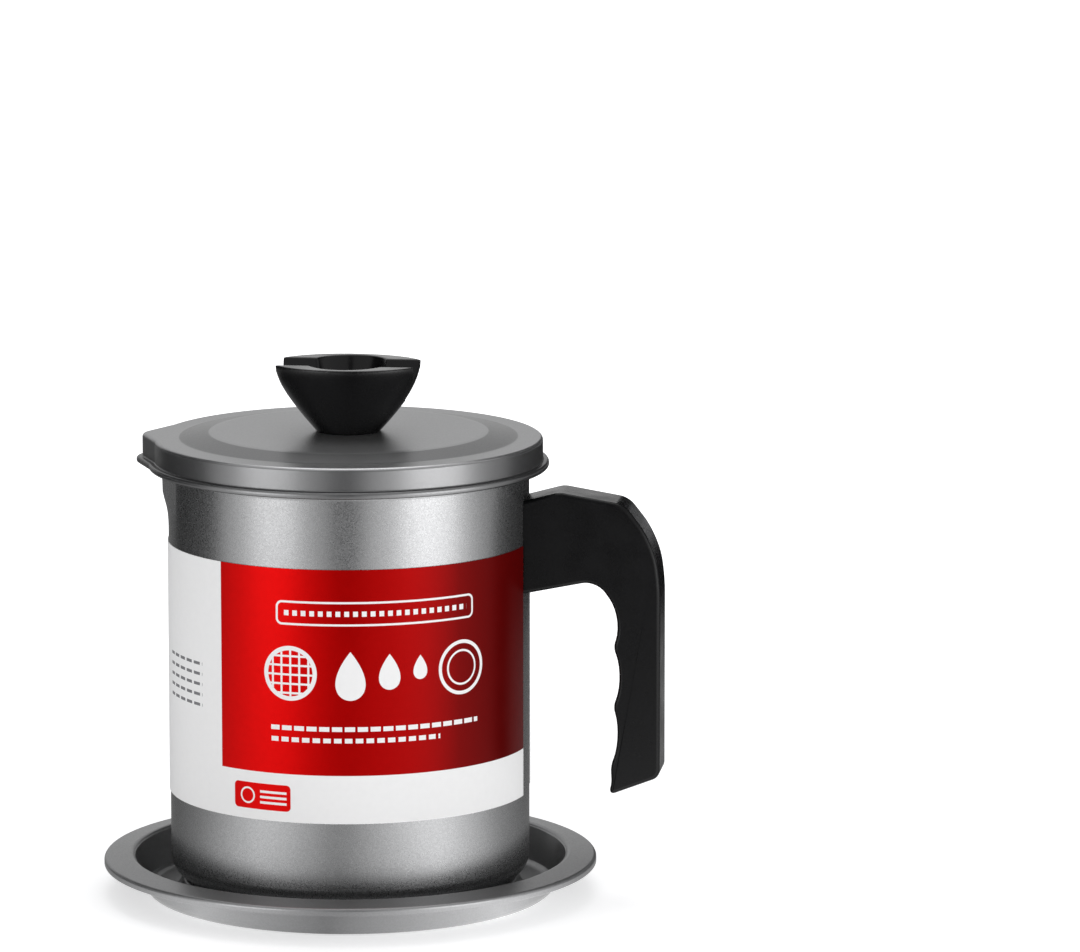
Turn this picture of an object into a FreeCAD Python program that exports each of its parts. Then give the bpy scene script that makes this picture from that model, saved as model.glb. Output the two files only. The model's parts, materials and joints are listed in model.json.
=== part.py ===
import FreeCAD, Part
import math
import os
import re
import Sketcher

# Grease pot: an iron pot with a handle, a strainer and a lid, standing in a drip tray.
# The frame has +Z up. The origin is on the pot's axis, at the tray's lowest face.
# The handle points along +X and the pouring beaks point along -X.

# Driving sizes, in millimetres and degrees
SIZES = {
    # How far joined shapes run into each other, and how far a cut runs past a face
    "join_overlap": 1.0,
    "cut_margin": 1.0,
    # Drip tray
    "tray_sheet": 0.8,
    "tray_flange_width": 10.2,
    "tray_moat_width": 11.0,
    "tray_height": 14.25,
    "tray_flange_drop": 1.4,
    "tray_lip_depth": 2.6,
    "tray_wall_lean": 18.5,
    "tray_seat_inset": 4.0,
    "tray_seat_height": 5.0,
    "tray_seat_lean": 20.0,
    "tray_seat_width": 19.8,
    "tray_disc_skirt": 4.9,
    "tray_disc_height": 1.0,
    "tray_bend_radius": 1.2,
    "tray_floor_bend": 4.0,
    # Pot
    "pot_radius": 62.8,
    "pot_wall": 0.6,
    "pot_height": 151.5,
    "pot_corner_radius": 8.0,
    "pot_foot_width": 5.8,
    "pot_recess_height": 1.6,
    "pot_recess_skirt": 3.0,
    "pot_rim_overhang": 3.5,
    "pot_rim_width": 1.6,
    "pot_rim_height": 3.0,
    "pot_flare_height": 3.5,
    "pot_rim_round": 0.7,
    # Pouring beak of the pot
    "spout_reach": 3.0,
    "spout_rim_reach": 2.6,
    "spout_slope": 69.5,
    "spout_tip_radius": 12.0,
    "spout_depth": 14.5,
    "spout_fade": 13.0,
    # Printed wrap
    "label_sheet": 0.3,
    "label_glue": 0.05,
    "label_foot_height": 31.4,
    "label_height": 88.2,
    "label_gap_angle": 9.0,
    # Handle
    "handle_width": 18.0,
    "handle_reach": 47.1,
    "handle_drop": 13.1,
    "handle_crown_reach": 11.8,
    "handle_crown_fall": 3.4,
    "handle_shoulder_reach": 34.4,
    "handle_shoulder_fall": 3.8,
    "handle_back_fall": 29.4,
    "handle_root_height": 32.6,
    "handle_arch_rise": 5.0,
    "handle_arch_back": 6.8,
    "handle_arch_radius": 20.0,
    "handle_arch_round": 6.0,
    "grip_depth": 16.4,
    "grip_pitch": 21.0,
    "grip_hollow_radius": 26.0,
    "grip_ridge_round": 2.6,
    "handle_height": 106.6,
    "grip_heel_rise": 6.9,
    "grip_toe_reach": 1.6,
    "grip_heel_round": 2.5,
    "handle_bevel": 1.4,
    # Bracket, screw and nut that carry the handle
    "bracket_sheet": 1.5,
    "bracket_width": 13.0,
    "bracket_height": 25.0,
    "tongue_width": 9.0,
    "tongue_length": 19.0,
    "tongue_thickness": 2.5,
    "tongue_drop": 17.0,
    "screw_radius": 2.0,
    "screw_head_radius": 3.9,
    "screw_head_height": 2.4,
    "screw_head_round": 1.0,
    "screw_slot_width": 0.9,
    "screw_slot_depth": 1.2,
    "screw_offset": 12.0,
    "screw_bed_thickness": 4.0,
    "nut_side": 7.0,
    "nut_height": 3.2,
    "socket_clearance": 0.15,
    "thread_clearance": 0.05,
    # Strainer
    "strainer_sheet": 0.6,
    "strainer_clearance": 0.3,
    "strainer_rim_height": 3.2,
    "strainer_rim_round": 1.4,
    "strainer_depth": 20.6,
    "strainer_corner_radius": 4.2,
    "strainer_beak_spread": 28.0,
    "strainer_beak_clearance": 0.8,
    "strainer_rim_reach": 3.5,
    "strainer_tip_radius": 12.0,
    "strainer_foot_width": 5.0,
    "mesh_depth": 14.8,
    "mesh_thickness": 0.6,
    "mesh_ledge": 2.0,
    "mesh_ledge_thickness": 0.8,
    "mesh_pitch": 6.4,
    "mesh_wire": 1.8,
    "mesh_angle": 30.0,
    # Lid
    "lid_sheet": 0.6,
    "lid_clearance": 0.7,
    "lid_height": 10.4,
    "lid_edge_round": 1.3,
    "lid_bead_width": 2.1,
    "lid_bead_height": 2.4,
    "lid_bead_round": 0.9,
    "lid_beak_spread": 15.5,
    "lid_beak_reach": 5.0,
    "lid_tip_radius": 9.0,
    "lid_ring_width": 8.6,
    "lid_disc_skirt": 11.2,
    "lid_disc_height": 2.0,
    # Knob
    "knob_base_radius": 11.0,
    "knob_height": 24.0,
    "knob_half_length": 27.0,
    "knob_half_width": 20.6,
    "knob_waist_share": 0.65,
    "knob_corner_angle": 38.0,
    "knob_groove_width": 18.0,
    "knob_groove_depth": 13.0,
    "knob_groove_floor": 5.0,
    "knob_bowl_radius": 14.5,
    "knob_bowl_floor": 10.2,
    "knob_bowl_depth": 11.0,
    "knob_edge_round": 1.0,
    "insert_radius": 3.6,
    "insert_length": 9.0,
    "knob_screw_reach": 7.2,
    "washer_radius": 6.0,
    "washer_thickness": 0.8,
}

doc = FreeCAD.newDocument("grease_pot")
sheet = doc.addObject("Spreadsheet::Sheet", "Sizes")
for row, (alias, value) in enumerate(SIZES.items(), start=1):
    sheet.set(f"A{row}", alias.replace("_", " "))
    sheet.set(f"B{row}", str(value))
    sheet.setAlias(f"B{row}", alias)
doc.recompute()


def bound(text):
    """Write a formula so that each of its sizes is read from the sheet."""
    return re.sub(r"\b([a-z]+(?:_[a-z]+)+)\b", r"Sizes.\1", text)


def number(text):
    """Work out a formula's value now."""
    return float(sheet.evalExpression(bound(text)))


def new_body(name, height="0"):
    """A sub-part, with its own zero level at the given height above the tray's base."""
    body = doc.addObject("PartDesign::Body", name)
    body.Label = name
    body.setExpression("Placement.Base.z", bound(height))
    return body


def new_sketch(body, name, plane="XY_Plane", level="0"):
    """A sketch on one of the body's own planes, moved along the plane's normal."""
    sketch = body.newObject("Sketcher::SketchObject", name)
    planes = [item for item in body.Origin.OriginFeatures if item.Role == plane]
    sketch.AttachmentSupport = (planes[0], [""])
    sketch.MapMode = "FlatFace"
    sketch.setExpression("AttachmentOffset.Base.z", bound(level))
    return sketch


def hold(sketch, kind, *places, text):
    """Add a sized constraint that follows a formula."""
    index = sketch.addConstraint(Sketcher.Constraint(kind, *places, number(text)))
    sketch.setExpression(f"Constraints[{index}]", bound(text))


def pin(sketch, element, end, corner):
    """Hold one end, or the centre, of a sketch element at a point."""
    hold(sketch, "DistanceX", element, end, text=corner[0])
    hold(sketch, "DistanceY", element, end, text=corner[1])


def add_line(sketch, start, finish):
    """A straight side; returns the element and the ends that hold its start and finish."""
    ends = [FreeCAD.Vector(*point, 0) for point in (start, finish)]
    return sketch.addGeometry(Part.LineSegment(*ends), False), 1, 2


def add_arc(sketch, start, finish, radius, side):
    """A minor arc that bulges to the left (side 1) or right (side -1) of the way it runs."""
    start = FreeCAD.Vector(*start, 0)
    finish = FreeCAD.Vector(*finish, 0)
    chord = finish - start
    left = FreeCAD.Vector(-chord.y, chord.x, 0).normalize()
    rise = math.sqrt(radius ** 2 - (chord.Length / 2) ** 2)
    centre = (start + finish) * 0.5 - left * (rise * side)
    angles = [math.atan2(*reversed((point - centre)[:2])) for point in (start, finish)]
    circle = Part.Circle(centre, FreeCAD.Vector(0, 0, 1), radius)
    if side > 0:
        return sketch.addGeometry(Part.ArcOfCircle(circle, angles[1], angles[0]), False), 2, 1
    return sketch.addGeometry(Part.ArcOfCircle(circle, angles[0], angles[1]), False), 1, 2


def outline(sketch, corners, arcs=None):
    """A closed outline through the corners. Side i leaves corner i; arcs[i] = (radius, side)."""
    arcs = arcs or {}
    points = [(number(x), number(y)) for x, y in corners]
    sides = []
    for index, start in enumerate(points):
        finish = points[(index + 1) % len(points)]
        if index in arcs:
            radius, bulge = arcs[index]
            sides.append(add_arc(sketch, start, finish, number(radius), bulge))
            hold(sketch, "Radius", sides[-1][0], text=radius)
        else:
            sides.append(add_line(sketch, start, finish))
    for index, (element, first, last) in enumerate(sides):
        following = sides[(index + 1) % len(sides)]
        pin(sketch, element, first, corners[index])
        sketch.addConstraint(Sketcher.Constraint("Coincident", element, last, *following[:2]))


def circle(sketch, radius, centre=("0", "0")):
    """A full circle."""
    middle = FreeCAD.Vector(number(centre[0]), number(centre[1]), 0)
    shape = Part.Circle(middle, FreeCAD.Vector(0, 0, 1), number(radius))
    element = sketch.addGeometry(shape, False)
    hold(sketch, "Radius", element, text=radius)
    pin(sketch, element, 3, centre)


def rectangle(sketch, low, high):
    """A rectangle between two opposite corners."""
    outline(sketch, [(low[0], low[1]), (high[0], low[1]), (high[0], high[1]), (low[0], high[1])])


def beak_elements(radius, tip, tip_radius, spread):
    """A circle with a beak along -X: round wall, flat side, rounded tip, flat side."""
    big, small = number(radius), number(tip_radius)
    angle = math.radians(number(spread))
    up = FreeCAD.Vector(0, 0, 1)
    crease = FreeCAD.Vector(-big * math.cos(angle), big * math.sin(angle), 0)
    middle = FreeCAD.Vector(small - number(tip), 0, 0)
    offset = crease - middle
    swing = math.atan2(offset.y, offset.x) + math.acos(small / offset.Length)
    touch = middle + FreeCAD.Vector(math.cos(swing), math.sin(swing), 0) * small
    low_crease, low_touch = [FreeCAD.Vector(point.x, -point.y, 0) for point in (crease, touch)]
    wall_circle = Part.Circle(FreeCAD.Vector(), up, big)
    tip_circle = Part.Circle(middle, up, small)
    return [
        Part.ArcOfCircle(wall_circle, angle - math.pi, math.pi - angle),
        Part.LineSegment(crease, touch),
        Part.ArcOfCircle(tip_circle, swing, 2 * math.pi - swing),
        Part.LineSegment(low_touch, low_crease),
    ]


def beak_outline(sketch, radius, tip, tip_radius, spread):
    """Draw the circle with a beak, held by its radius, its reach and the spread of its creases."""
    elements = beak_elements(radius, tip, tip_radius, spread)
    wall, upper, nose, lower = [sketch.addGeometry(element, False) for element in elements]
    half_width = f"({radius}) * sin({spread})"
    pin(sketch, wall, 3, ("0", "0"))
    pin(sketch, wall, 2, (f"-({radius}) * cos({spread})", half_width))
    hold(sketch, "DistanceY", wall, 1, text=f"-{half_width}")
    sketch.addConstraint(Sketcher.Constraint("Coincident", wall, 2, upper, 1))
    sketch.addConstraint(Sketcher.Constraint("Tangent", upper, 2, nose, 1))
    sketch.addConstraint(Sketcher.Constraint("Tangent", nose, 2, lower, 1))
    sketch.addConstraint(Sketcher.Constraint("Coincident", lower, 2, wall, 1))
    hold(sketch, "Radius", nose, text=tip_radius)
    pin(sketch, nose, 3, (f"({tip_radius}) - ({tip})", "0"))


def spout_outline(sketch, tip, tip_radius):
    """The wedge that adds a beak to the round pot, from inside its wall out to the tip."""
    middle = f"(({tip}) - ({tip_radius}))"
    reach = f"({middle} * sin(spout_slope) + ({tip_radius}))"
    foot = (f"-{reach} * sin(spout_slope)", f"{reach} * cos(spout_slope)")
    touch = (f"-{middle} - ({tip_radius}) * sin(spout_slope)", f"({tip_radius}) * cos(spout_slope)")
    low_foot, low_touch = [(point[0], f"-({point[1]})") for point in (foot, touch)]
    outline(sketch, [foot, touch, low_touch, low_foot], {1: (tip_radius, -1)})


def pad(body, sketch, length, kind="Pad", reverse=False, middle=False):
    """Raise a sketch into a solid, or cut it away as a Pocket."""
    feature = body.newObject(f"PartDesign::{kind}", f"{sketch.Name}_{kind.lower()}")
    feature.Profile = sketch
    feature.setExpression("Length", bound(length))
    feature.Reversed = reverse
    feature.Midplane = middle
    sketch.Visibility = False
    return feature


def turn(body, sketch, kind="Revolution"):
    """Turn a sketch about the vertical axis, to add it or to cut it away as a Groove."""
    feature = body.newObject(f"PartDesign::{kind}", f"{sketch.Name}_{kind.lower()}")
    feature.Profile = sketch
    feature.ReferenceAxis = (sketch, ["V_Axis"])
    feature.Angle = 360
    return feature


def loft(body, sections, kind="AdditiveLoft"):
    """Join sketches at different levels."""
    feature = body.newObject(f"PartDesign::{kind}", f"{sections[0].Name}_loft")
    feature.Profile = sections[0]
    feature.Sections = sections[1:]
    feature.Ruled = len(sections) == 2
    return feature


def round_edges(body, name, size, wanted, kind="Fillet"):
    """Round each edge of the body's last feature that the test picks, or bevel it as a Chamfer."""
    doc.recompute()
    base = body.Tip
    names = []
    for index, edge in enumerate(base.Shape.Edges, start=1):
        if wanted(edge):
            names.append(f"Edge{index}")
    if not names:
        raise RuntimeError(f"{name} finds no edge")
    feature = body.newObject(f"PartDesign::{kind}", name)
    feature.Base = (base, names)
    feature.setExpression({"Fillet": "Radius", "Chamfer": "Size"}[kind], bound(size))
    return feature


def near(value, text, slack=0.02):
    """Is a measured value that of the formula?"""
    return abs(value - number(text)) < slack


def level_edge(edge, height):
    """Does an edge lie flat at the given height?"""
    box = edge.BoundBox
    return near(box.ZMin, height) and near(box.ZMax, height)


def ring_edge(edge, radius, height):
    """Is an edge part of a level circle round the axis?"""
    if not level_edge(edge, height) or not isinstance(edge.Curve, Part.Circle):
        return False
    return near(edge.Curve.Radius, radius) and math.hypot(*edge.Curve.Center[:2]) < 0.01


def outer_edge(edge, reach, height):
    """Is an edge part of a level outline that passes at this radius opposite or beside the beak?"""
    if not level_edge(edge, height):
        return False
    points = [vertex.Point for vertex in edge.Vertexes]
    radii = [math.hypot(point.x, point.y) for point in points]
    return max(radii) > number(reach) - 0.05


def miter(sheet_size, lean):
    """How far a sheet's far side shifts at the corner between a level part and a leaning wall."""
    return f"{sheet_size} * (1 - sin({lean})) / cos({lean})"


# Levels above the tray's base
POT_LEVEL = "tray_sheet + tray_seat_height"
STRAINER_LEVEL = f"{POT_LEVEL} + pot_height"
LID_LEVEL = f"{STRAINER_LEVEL} + strainer_rim_height"


def make_tray():
    """A pressed tray: disc, seat for the pot, moat, leaning wall, flange and turned-down lip."""
    body = new_body("drip_tray")
    profile = new_sketch(body, "tray_profile", "XZ_Plane")
    seat = "tray_sheet + tray_seat_height"
    disc = f"{seat} + tray_disc_height"
    seat_shift = miter("tray_sheet", "tray_seat_lean")
    wall_shift = miter("tray_sheet", "tray_wall_lean")
    edge = "(pot_radius - tray_seat_inset)"
    moat_in = f"({edge} + tray_seat_height * tan(tray_seat_lean))"
    moat_out = f"({moat_in} + tray_moat_width)"
    mouth = f"({moat_out} + (tray_height - tray_sheet) * tan(tray_wall_lean))"
    flange = f"({mouth} + tray_flange_width)"
    rim = "tray_height - tray_flange_drop"
    disc_foot = f"({edge} - tray_seat_width)"
    disc_edge = f"({disc_foot} - tray_disc_skirt)"
    top = [
        ("0", disc),
        (disc_edge, disc),
        (disc_foot, seat),
        (edge, seat),
        (moat_in, "tray_sheet"),
        (moat_out, "tray_sheet"),
        (mouth, "tray_height"),
        (flange, rim),
        (flange, f"{rim} - tray_lip_depth"),
    ]
    under = [
        (f"{flange} - tray_sheet", f"{rim} - tray_lip_depth"),
        (f"{flange} - tray_sheet", f"{rim} - tray_sheet"),
        (f"{mouth} + {wall_shift}", "tray_height - tray_sheet"),
        (f"{moat_out} + {wall_shift}", "0"),
        (f"{moat_in} - {seat_shift}", "0"),
        (f"{edge} - {seat_shift}", "tray_seat_height"),
        (disc_foot, "tray_seat_height"),
        (disc_edge, f"{disc} - tray_sheet"),
        ("0", f"{disc} - tray_sheet"),
    ]
    outline(profile, top + under)
    turn(body, profile)
    inside = [
        (moat_in, "tray_sheet"),
        (f"{edge} - {seat_shift}", "tray_seat_height"),
        (f"{mouth} + {wall_shift}", "tray_height - tray_sheet"),
    ]
    outside = [
        (f"{moat_in} - {seat_shift}", "0"),
        (edge, seat),
        (mouth, "tray_height"),
        (flange, rim),
    ]
    round_edges(body, "tray_floor_inside", "tray_floor_bend",
                lambda edge: ring_edge(edge, moat_out, "tray_sheet"))
    round_edges(body, "tray_floor_outside", "tray_floor_bend + tray_sheet",
                lambda edge: ring_edge(edge, f"{moat_out} + {wall_shift}", "0"))
    round_edges(body, "tray_inner_bends", "tray_bend_radius",
                lambda edge: any(ring_edge(edge, *place) for place in inside))
    round_edges(body, "tray_outer_bends", "tray_bend_radius + tray_sheet",
                lambda edge: any(ring_edge(edge, *place) for place in outside))
    return body


def make_pot():
    """The drawn pot: recessed base, rounded corner, flared mouth, rolled rim and a beak."""
    body = new_body("pot_body", POT_LEVEL)
    rim = "pot_radius + pot_rim_overhang"
    rim_foot = "pot_height - pot_rim_height"
    flare_foot = f"{rim_foot} - pot_flare_height"
    mouth = f"{rim} - pot_rim_width"
    recess_foot = "(pot_radius - pot_corner_radius - pot_foot_width)"
    recess_edge = f"({recess_foot} - pot_recess_skirt)"
    outer = new_sketch(body, "pot_outside", "XZ_Plane")
    outline(outer, [
        ("0", "pot_recess_height"),
        (recess_edge, "pot_recess_height"),
        (recess_foot, "0"),
        ("pot_radius - pot_corner_radius", "0"),
        ("pot_radius", "pot_corner_radius"),
        ("pot_radius", flare_foot),
        (rim, rim_foot),
        (rim, "pot_height"),
        ("0", "pot_height"),
    ], {3: ("pot_corner_radius", -1)})
    turn(body, outer)

    # Beak, outside: it fades into the wall below, and widens with the rim above
    tip = "pot_radius + spout_reach"
    tip_round = "spout_tip_radius + pot_wall"
    rim_tip = f"{tip} + spout_rim_reach"
    hidden_tip = "pot_radius - join_overlap"
    full_foot = "pot_height - spout_depth"
    fade_foot = f"{full_foot} - spout_fade"
    sections = {}
    for name, reach, level in (("faded", hidden_tip, fade_foot), ("full", tip, full_foot),
                               ("flare", tip, flare_foot), ("rim", rim_tip, rim_foot)):
        sections[name] = new_sketch(body, f"spout_{name}", level=level)
        spout_outline(sections[name], reach, tip_round)
    loft(body, [sections["faded"], sections["full"]])
    pad(body, sections["full"], f"({flare_foot}) - ({full_foot})")
    loft(body, [sections["flare"], sections["rim"]])
    pad(body, sections["rim"], "pot_rim_height")
    round_edges(body, "pot_rim_edges", "pot_rim_round",
                lambda edge: level_edge(edge, "pot_height") or level_edge(edge, rim_foot))

    # Hollow
    inner = new_sketch(body, "pot_inside", "XZ_Plane")
    bore = "pot_radius - pot_wall"
    floor = "pot_recess_height + pot_wall"
    outline(inner, [
        ("0", floor),
        (f"{recess_edge} + pot_wall / 2", floor),
        (f"{recess_foot} + pot_wall / 2", "pot_wall"),
        ("pot_radius - pot_corner_radius", "pot_wall"),
        (bore, "pot_corner_radius"),
        (bore, flare_foot),
        (mouth, rim_foot),
        (mouth, "pot_height + cut_margin"),
        ("0", "pot_height + cut_margin"),
    ], {3: ("pot_corner_radius - pot_wall", -1)})
    turn(body, inner, "Groove")
    cuts = {}
    for name, reach, level in (("faded", f"{hidden_tip} - pot_wall", fade_foot),
                               ("full", f"{tip} - pot_wall", full_foot),
                               ("flare", f"{tip} - pot_wall", flare_foot),
                               ("rim", f"{rim_tip} - pot_rim_width", rim_foot)):
        cuts[name] = new_sketch(body, f"throat_{name}", level=level)
        spout_outline(cuts[name], reach, "spout_tip_radius")
    loft(body, [cuts["faded"], cuts["full"]], "SubtractiveLoft")
    pad(body, cuts["full"], f"({flare_foot}) - ({full_foot})", "Pocket", reverse=True)
    loft(body, [cuts["flare"], cuts["rim"]], "SubtractiveLoft")
    pad(body, cuts["rim"], "pot_rim_height + cut_margin", "Pocket", reverse=True)
    return body


def make_label():
    """The printed band round the pot's wall, open where the handle stands."""
    body = new_body("label_wrap", POT_LEVEL)
    band = new_sketch(body, "label_band", level="label_foot_height")
    inner = "(pot_radius + label_glue)"
    outer = "(pot_radius + label_glue + label_sheet)"
    start, finish = "label_gap_angle", "(360 - label_gap_angle)"
    shape = []
    for radius in (inner, outer):
        ends = [math.radians(number(angle)) for angle in (start, finish)]
        ring = Part.Circle(FreeCAD.Vector(), FreeCAD.Vector(0, 0, 1), number(radius))
        element = band.addGeometry(Part.ArcOfCircle(ring, *ends), False)
        hold(band, "Radius", element, text=radius)
        pin(band, element, 3, ("0", "0"))
        hold(band, "DistanceY", element, 1, text=f"{radius} * sin({start})")
        hold(band, "DistanceY", element, 2, text=f"-{radius} * sin({start})")
        shape.append(element)
    for end in (1, 2):
        points = [band.getPoint(element, end) for element in shape]
        side = band.addGeometry(Part.LineSegment(*points), False)
        band.addConstraint(Sketcher.Constraint("Coincident", side, 1, shape[0], end))
        band.addConstraint(Sketcher.Constraint("Coincident", side, 2, shape[1], end))
    pad(body, band, "label_height")
    return body


def across(edge, x, z):
    """Does a straight edge run across the handle at this place on its side view?"""
    box = edge.BoundBox
    return near(box.XMin, x) and near(box.XMax, x) and near(box.ZMin, z) and near(box.ZMax, z)


def on_handle_side(edge):
    """Does an edge bound one of the handle's flat sides, outside the pot's wall?"""
    box = edge.BoundBox
    flat = any(near(box.YMin, side) and near(box.YMax, side)
               for side in ("handle_width / 2", "-handle_width / 2"))
    return flat and box.XMax > number("pot_radius")


# Places shared by the handle, its bracket, its screw and its nut
HANDLE_TOP = "pot_height - handle_drop"
TONGUE_TOP = f"{HANDLE_TOP} - tongue_drop"
TONGUE_FOOT = f"{TONGUE_TOP} - tongue_thickness"
TONGUE_END = "pot_radius + bracket_sheet + tongue_length"
BRACKET_FOOT = f"{TONGUE_TOP} - bracket_height / 2"
SCREW_PLACE = "pot_radius + screw_offset"
SCREW_BED = f"{TONGUE_FOOT} - socket_clearance - screw_bed_thickness"


def curved_plate(sketch, thickness, half_width):
    """A strip of plate bent round the pot's wall."""
    outer = f"(pot_radius + {thickness})"
    near_side, far_side = [
        f"sqrt({radius} ^ 2 - ({half_width}) ^ 2)" for radius in ("pot_radius", outer)]
    outline(sketch, [
        (near_side, f"-({half_width})"),
        (far_side, f"-({half_width})"),
        (far_side, half_width),
        (near_side, half_width),
    ], {1: (outer, -1), 3: ("pot_radius", 1)})


def make_handle():
    """The moulded handle: root, shoulder, back, finger hollows, and the sockets in its root."""
    body = new_body("pot_handle", POT_LEVEL)
    side = new_sketch(body, "handle_side", "XZ_Plane")
    root_top = f"{HANDLE_TOP} - handle_crown_fall"
    back = "pot_radius + handle_reach"
    ridge = f"{back} - grip_depth"
    hidden = "pot_radius - join_overlap"
    foot = f"({HANDLE_TOP} - handle_height)"
    first_ridge = f"{foot} + grip_pitch / 2"
    ridges = [f"{first_ridge} + {step} * grip_pitch" for step in range(3)]
    arch = (f"{ridge} - handle_arch_back", f"{root_top} - handle_root_height + handle_arch_rise")
    heel = (back, f"{foot} + grip_heel_rise")
    toe = (f"{ridge} - grip_toe_reach", foot)
    shoulder_run = "(handle_reach - handle_shoulder_reach)"
    shoulder_drop = "(handle_back_fall - handle_shoulder_fall)"
    shoulder_radius = f"({shoulder_run} ^ 2 + {shoulder_drop} ^ 2) / (2 * {shoulder_run})"
    outline(side, [
        (hidden, f"{root_top} - handle_root_height"),
        (hidden, root_top),
        ("pot_radius + handle_crown_reach", HANDLE_TOP),
        ("pot_radius + handle_shoulder_reach", f"{HANDLE_TOP} - handle_shoulder_fall"),
        (back, f"{HANDLE_TOP} - handle_back_fall"),
        heel,
        toe,
        (f"{ridge} - grip_toe_reach / 2", ridges[0]),
        (ridge, ridges[1]),
        (ridge, ridges[2]),
        arch,
    ], {
        3: (shoulder_radius, 1),
        7: ("grip_hollow_radius", -1),
        8: ("grip_hollow_radius", -1),
        9: ("handle_arch_radius", -1),
    })
    pad(body, side, "handle_width", middle=True)
    round_edges(body, "handle_ridge_rounds", "grip_ridge_round",
                lambda edge: any(across(edge, ridge, level) for level in ridges[1:])
                or across(edge, f"{ridge} - grip_toe_reach / 2", ridges[0]))
    round_edges(body, "handle_arch_round", "handle_arch_round", lambda edge: across(edge, *arch))
    round_edges(body, "handle_heel_rounds", "grip_heel_round",
                lambda edge: across(edge, *heel) or across(edge, *toe))
    round_edges(body, "handle_bevels", "handle_bevel", on_handle_side, "Chamfer")

    # The root fits the wall, and holds the bracket, the tongue, the nut and the screw
    wall = new_sketch(body, "handle_wall_fit")
    circle(wall, "pot_radius")
    pad(body, wall, "pot_height", "Pocket", reverse=True)
    plate = new_sketch(body, "bracket_socket", level=f"{BRACKET_FOOT} - socket_clearance")
    curved_plate(plate, "bracket_sheet + socket_clearance", "bracket_width / 2 + socket_clearance")
    pad(body, plate, "bracket_height + 2 * socket_clearance", "Pocket", reverse=True)
    slot = new_sketch(body, "tongue_socket", level=f"{TONGUE_FOOT} - socket_clearance")
    half_slot = "(tongue_width / 2 + socket_clearance)"
    rectangle(slot, ("pot_radius", f"-{half_slot}"), (f"{TONGUE_END} + socket_clearance", half_slot))
    pad(body, slot, "tongue_thickness + nut_height + 2 * socket_clearance", "Pocket", reverse=True)
    bore = new_sketch(body, "screw_bore", level=f"{SCREW_BED}")
    circle(bore, "screw_radius + socket_clearance", (SCREW_PLACE, "0"))
    pad(body, bore, "screw_bed_thickness + cut_margin", "Pocket", reverse=True)
    recess = new_sketch(body, "screw_recess", level=f"{SCREW_BED}")
    circle(recess, "screw_head_radius + socket_clearance", (SCREW_PLACE, "0"))
    pad(body, recess, "handle_root_height", "Pocket")
    return body


def make_bracket():
    """The steel bracket: a plate welded on the wall, and a tongue tapped for the screw."""
    body = new_body("handle_bracket", POT_LEVEL)
    plate = new_sketch(body, "bracket_plate", level=BRACKET_FOOT)
    curved_plate(plate, "bracket_sheet", "bracket_width / 2")
    pad(body, plate, "bracket_height")
    tongue = new_sketch(body, "bracket_tongue", level=TONGUE_FOOT)
    rectangle(tongue, ("pot_radius + bracket_sheet / 2", "-tongue_width / 2"),
              (TONGUE_END, "tongue_width / 2"))
    pad(body, tongue, "tongue_thickness")
    hole = new_sketch(body, "tongue_hole", level=TONGUE_FOOT)
    circle(hole, "screw_radius + thread_clearance", (SCREW_PLACE, "0"))
    pad(body, hole, "tongue_thickness", "Pocket", reverse=True)
    return body


def make_nut():
    """The square nut that lies on the tongue."""
    body = new_body("handle_nut", f"{POT_LEVEL} + {TONGUE_TOP}")
    body.setExpression("Placement.Base.x", bound(SCREW_PLACE))
    square = new_sketch(body, "nut_square")
    rectangle(square, ("-nut_side / 2", "-nut_side / 2"), ("nut_side / 2", "nut_side / 2"))
    circle(square, "screw_radius + thread_clearance")
    pad(body, square, "nut_height")
    return body


def make_screw(name, height, length, place="0"):
    """A pan-head screw that points up, its head's bearing face at the given height."""
    body = new_body(name, height)
    body.setExpression("Placement.Base.x", bound(place))
    profile = new_sketch(body, f"{name}_profile", "XZ_Plane")
    outline(profile, [
        ("0", "-screw_head_height"),
        ("screw_head_radius", "-screw_head_height"),
        ("screw_head_radius", "0"),
        ("screw_radius", "0"),
        ("screw_radius", length),
        ("0", length),
    ])
    turn(body, profile)
    round_edges(body, f"{name}_head_round", "screw_head_round",
                lambda edge: ring_edge(edge, "screw_head_radius", "-screw_head_height"))
    slot = new_sketch(body, f"{name}_slot", level="-screw_head_height")
    reach = "screw_head_radius + cut_margin"
    rectangle(slot, (f"-({reach})", "-screw_slot_width / 2"), (reach, "screw_slot_width / 2"))
    pad(body, slot, "screw_slot_depth", "Pocket", reverse=True)
    return body


# The strainer's own zero level is the underside of its rim
STRAINER_WALL = "(pot_radius - pot_wall - strainer_clearance)"
STRAINER_BORE = f"({STRAINER_WALL} - strainer_sheet)"
STRAINER_RIM = "(pot_radius + pot_rim_overhang)"
STRAINER_BEAK = "(spout_reach + strainer_clearance - strainer_beak_clearance)"
STRAINER_FOOT = "strainer_rim_height - strainer_depth"
MESH_FOOT = "strainer_rim_height - mesh_depth - mesh_thickness"
CORNER_STEPS = 3


def strainer_outline(sketch, radius):
    """The strainer's wall outline, or one parallel to it."""
    inset = f"({STRAINER_WALL} - ({radius}))"
    beak_outline(sketch, radius, f"{radius} + {STRAINER_BEAK}",
                 f"strainer_tip_radius - {inset}", "strainer_beak_spread")


def strainer_round(body, name, radius, bend, floor, kind):
    """The rounded corner under the strainer's wall, added outside or cut away inside."""
    sections = []
    for step in range(CORNER_STEPS + 1):
        angle = f"({step} * 90 / {CORNER_STEPS})"
        inset = f"({bend}) * (1 - cos({angle}))"
        level = f"{floor} + ({bend}) * (1 - sin({angle}))"
        sections.append(new_sketch(body, f"{name}_{step}", level=level))
        strainer_outline(sections[-1], f"({radius} - {inset})")
    return loft(body, sections, kind)


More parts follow.
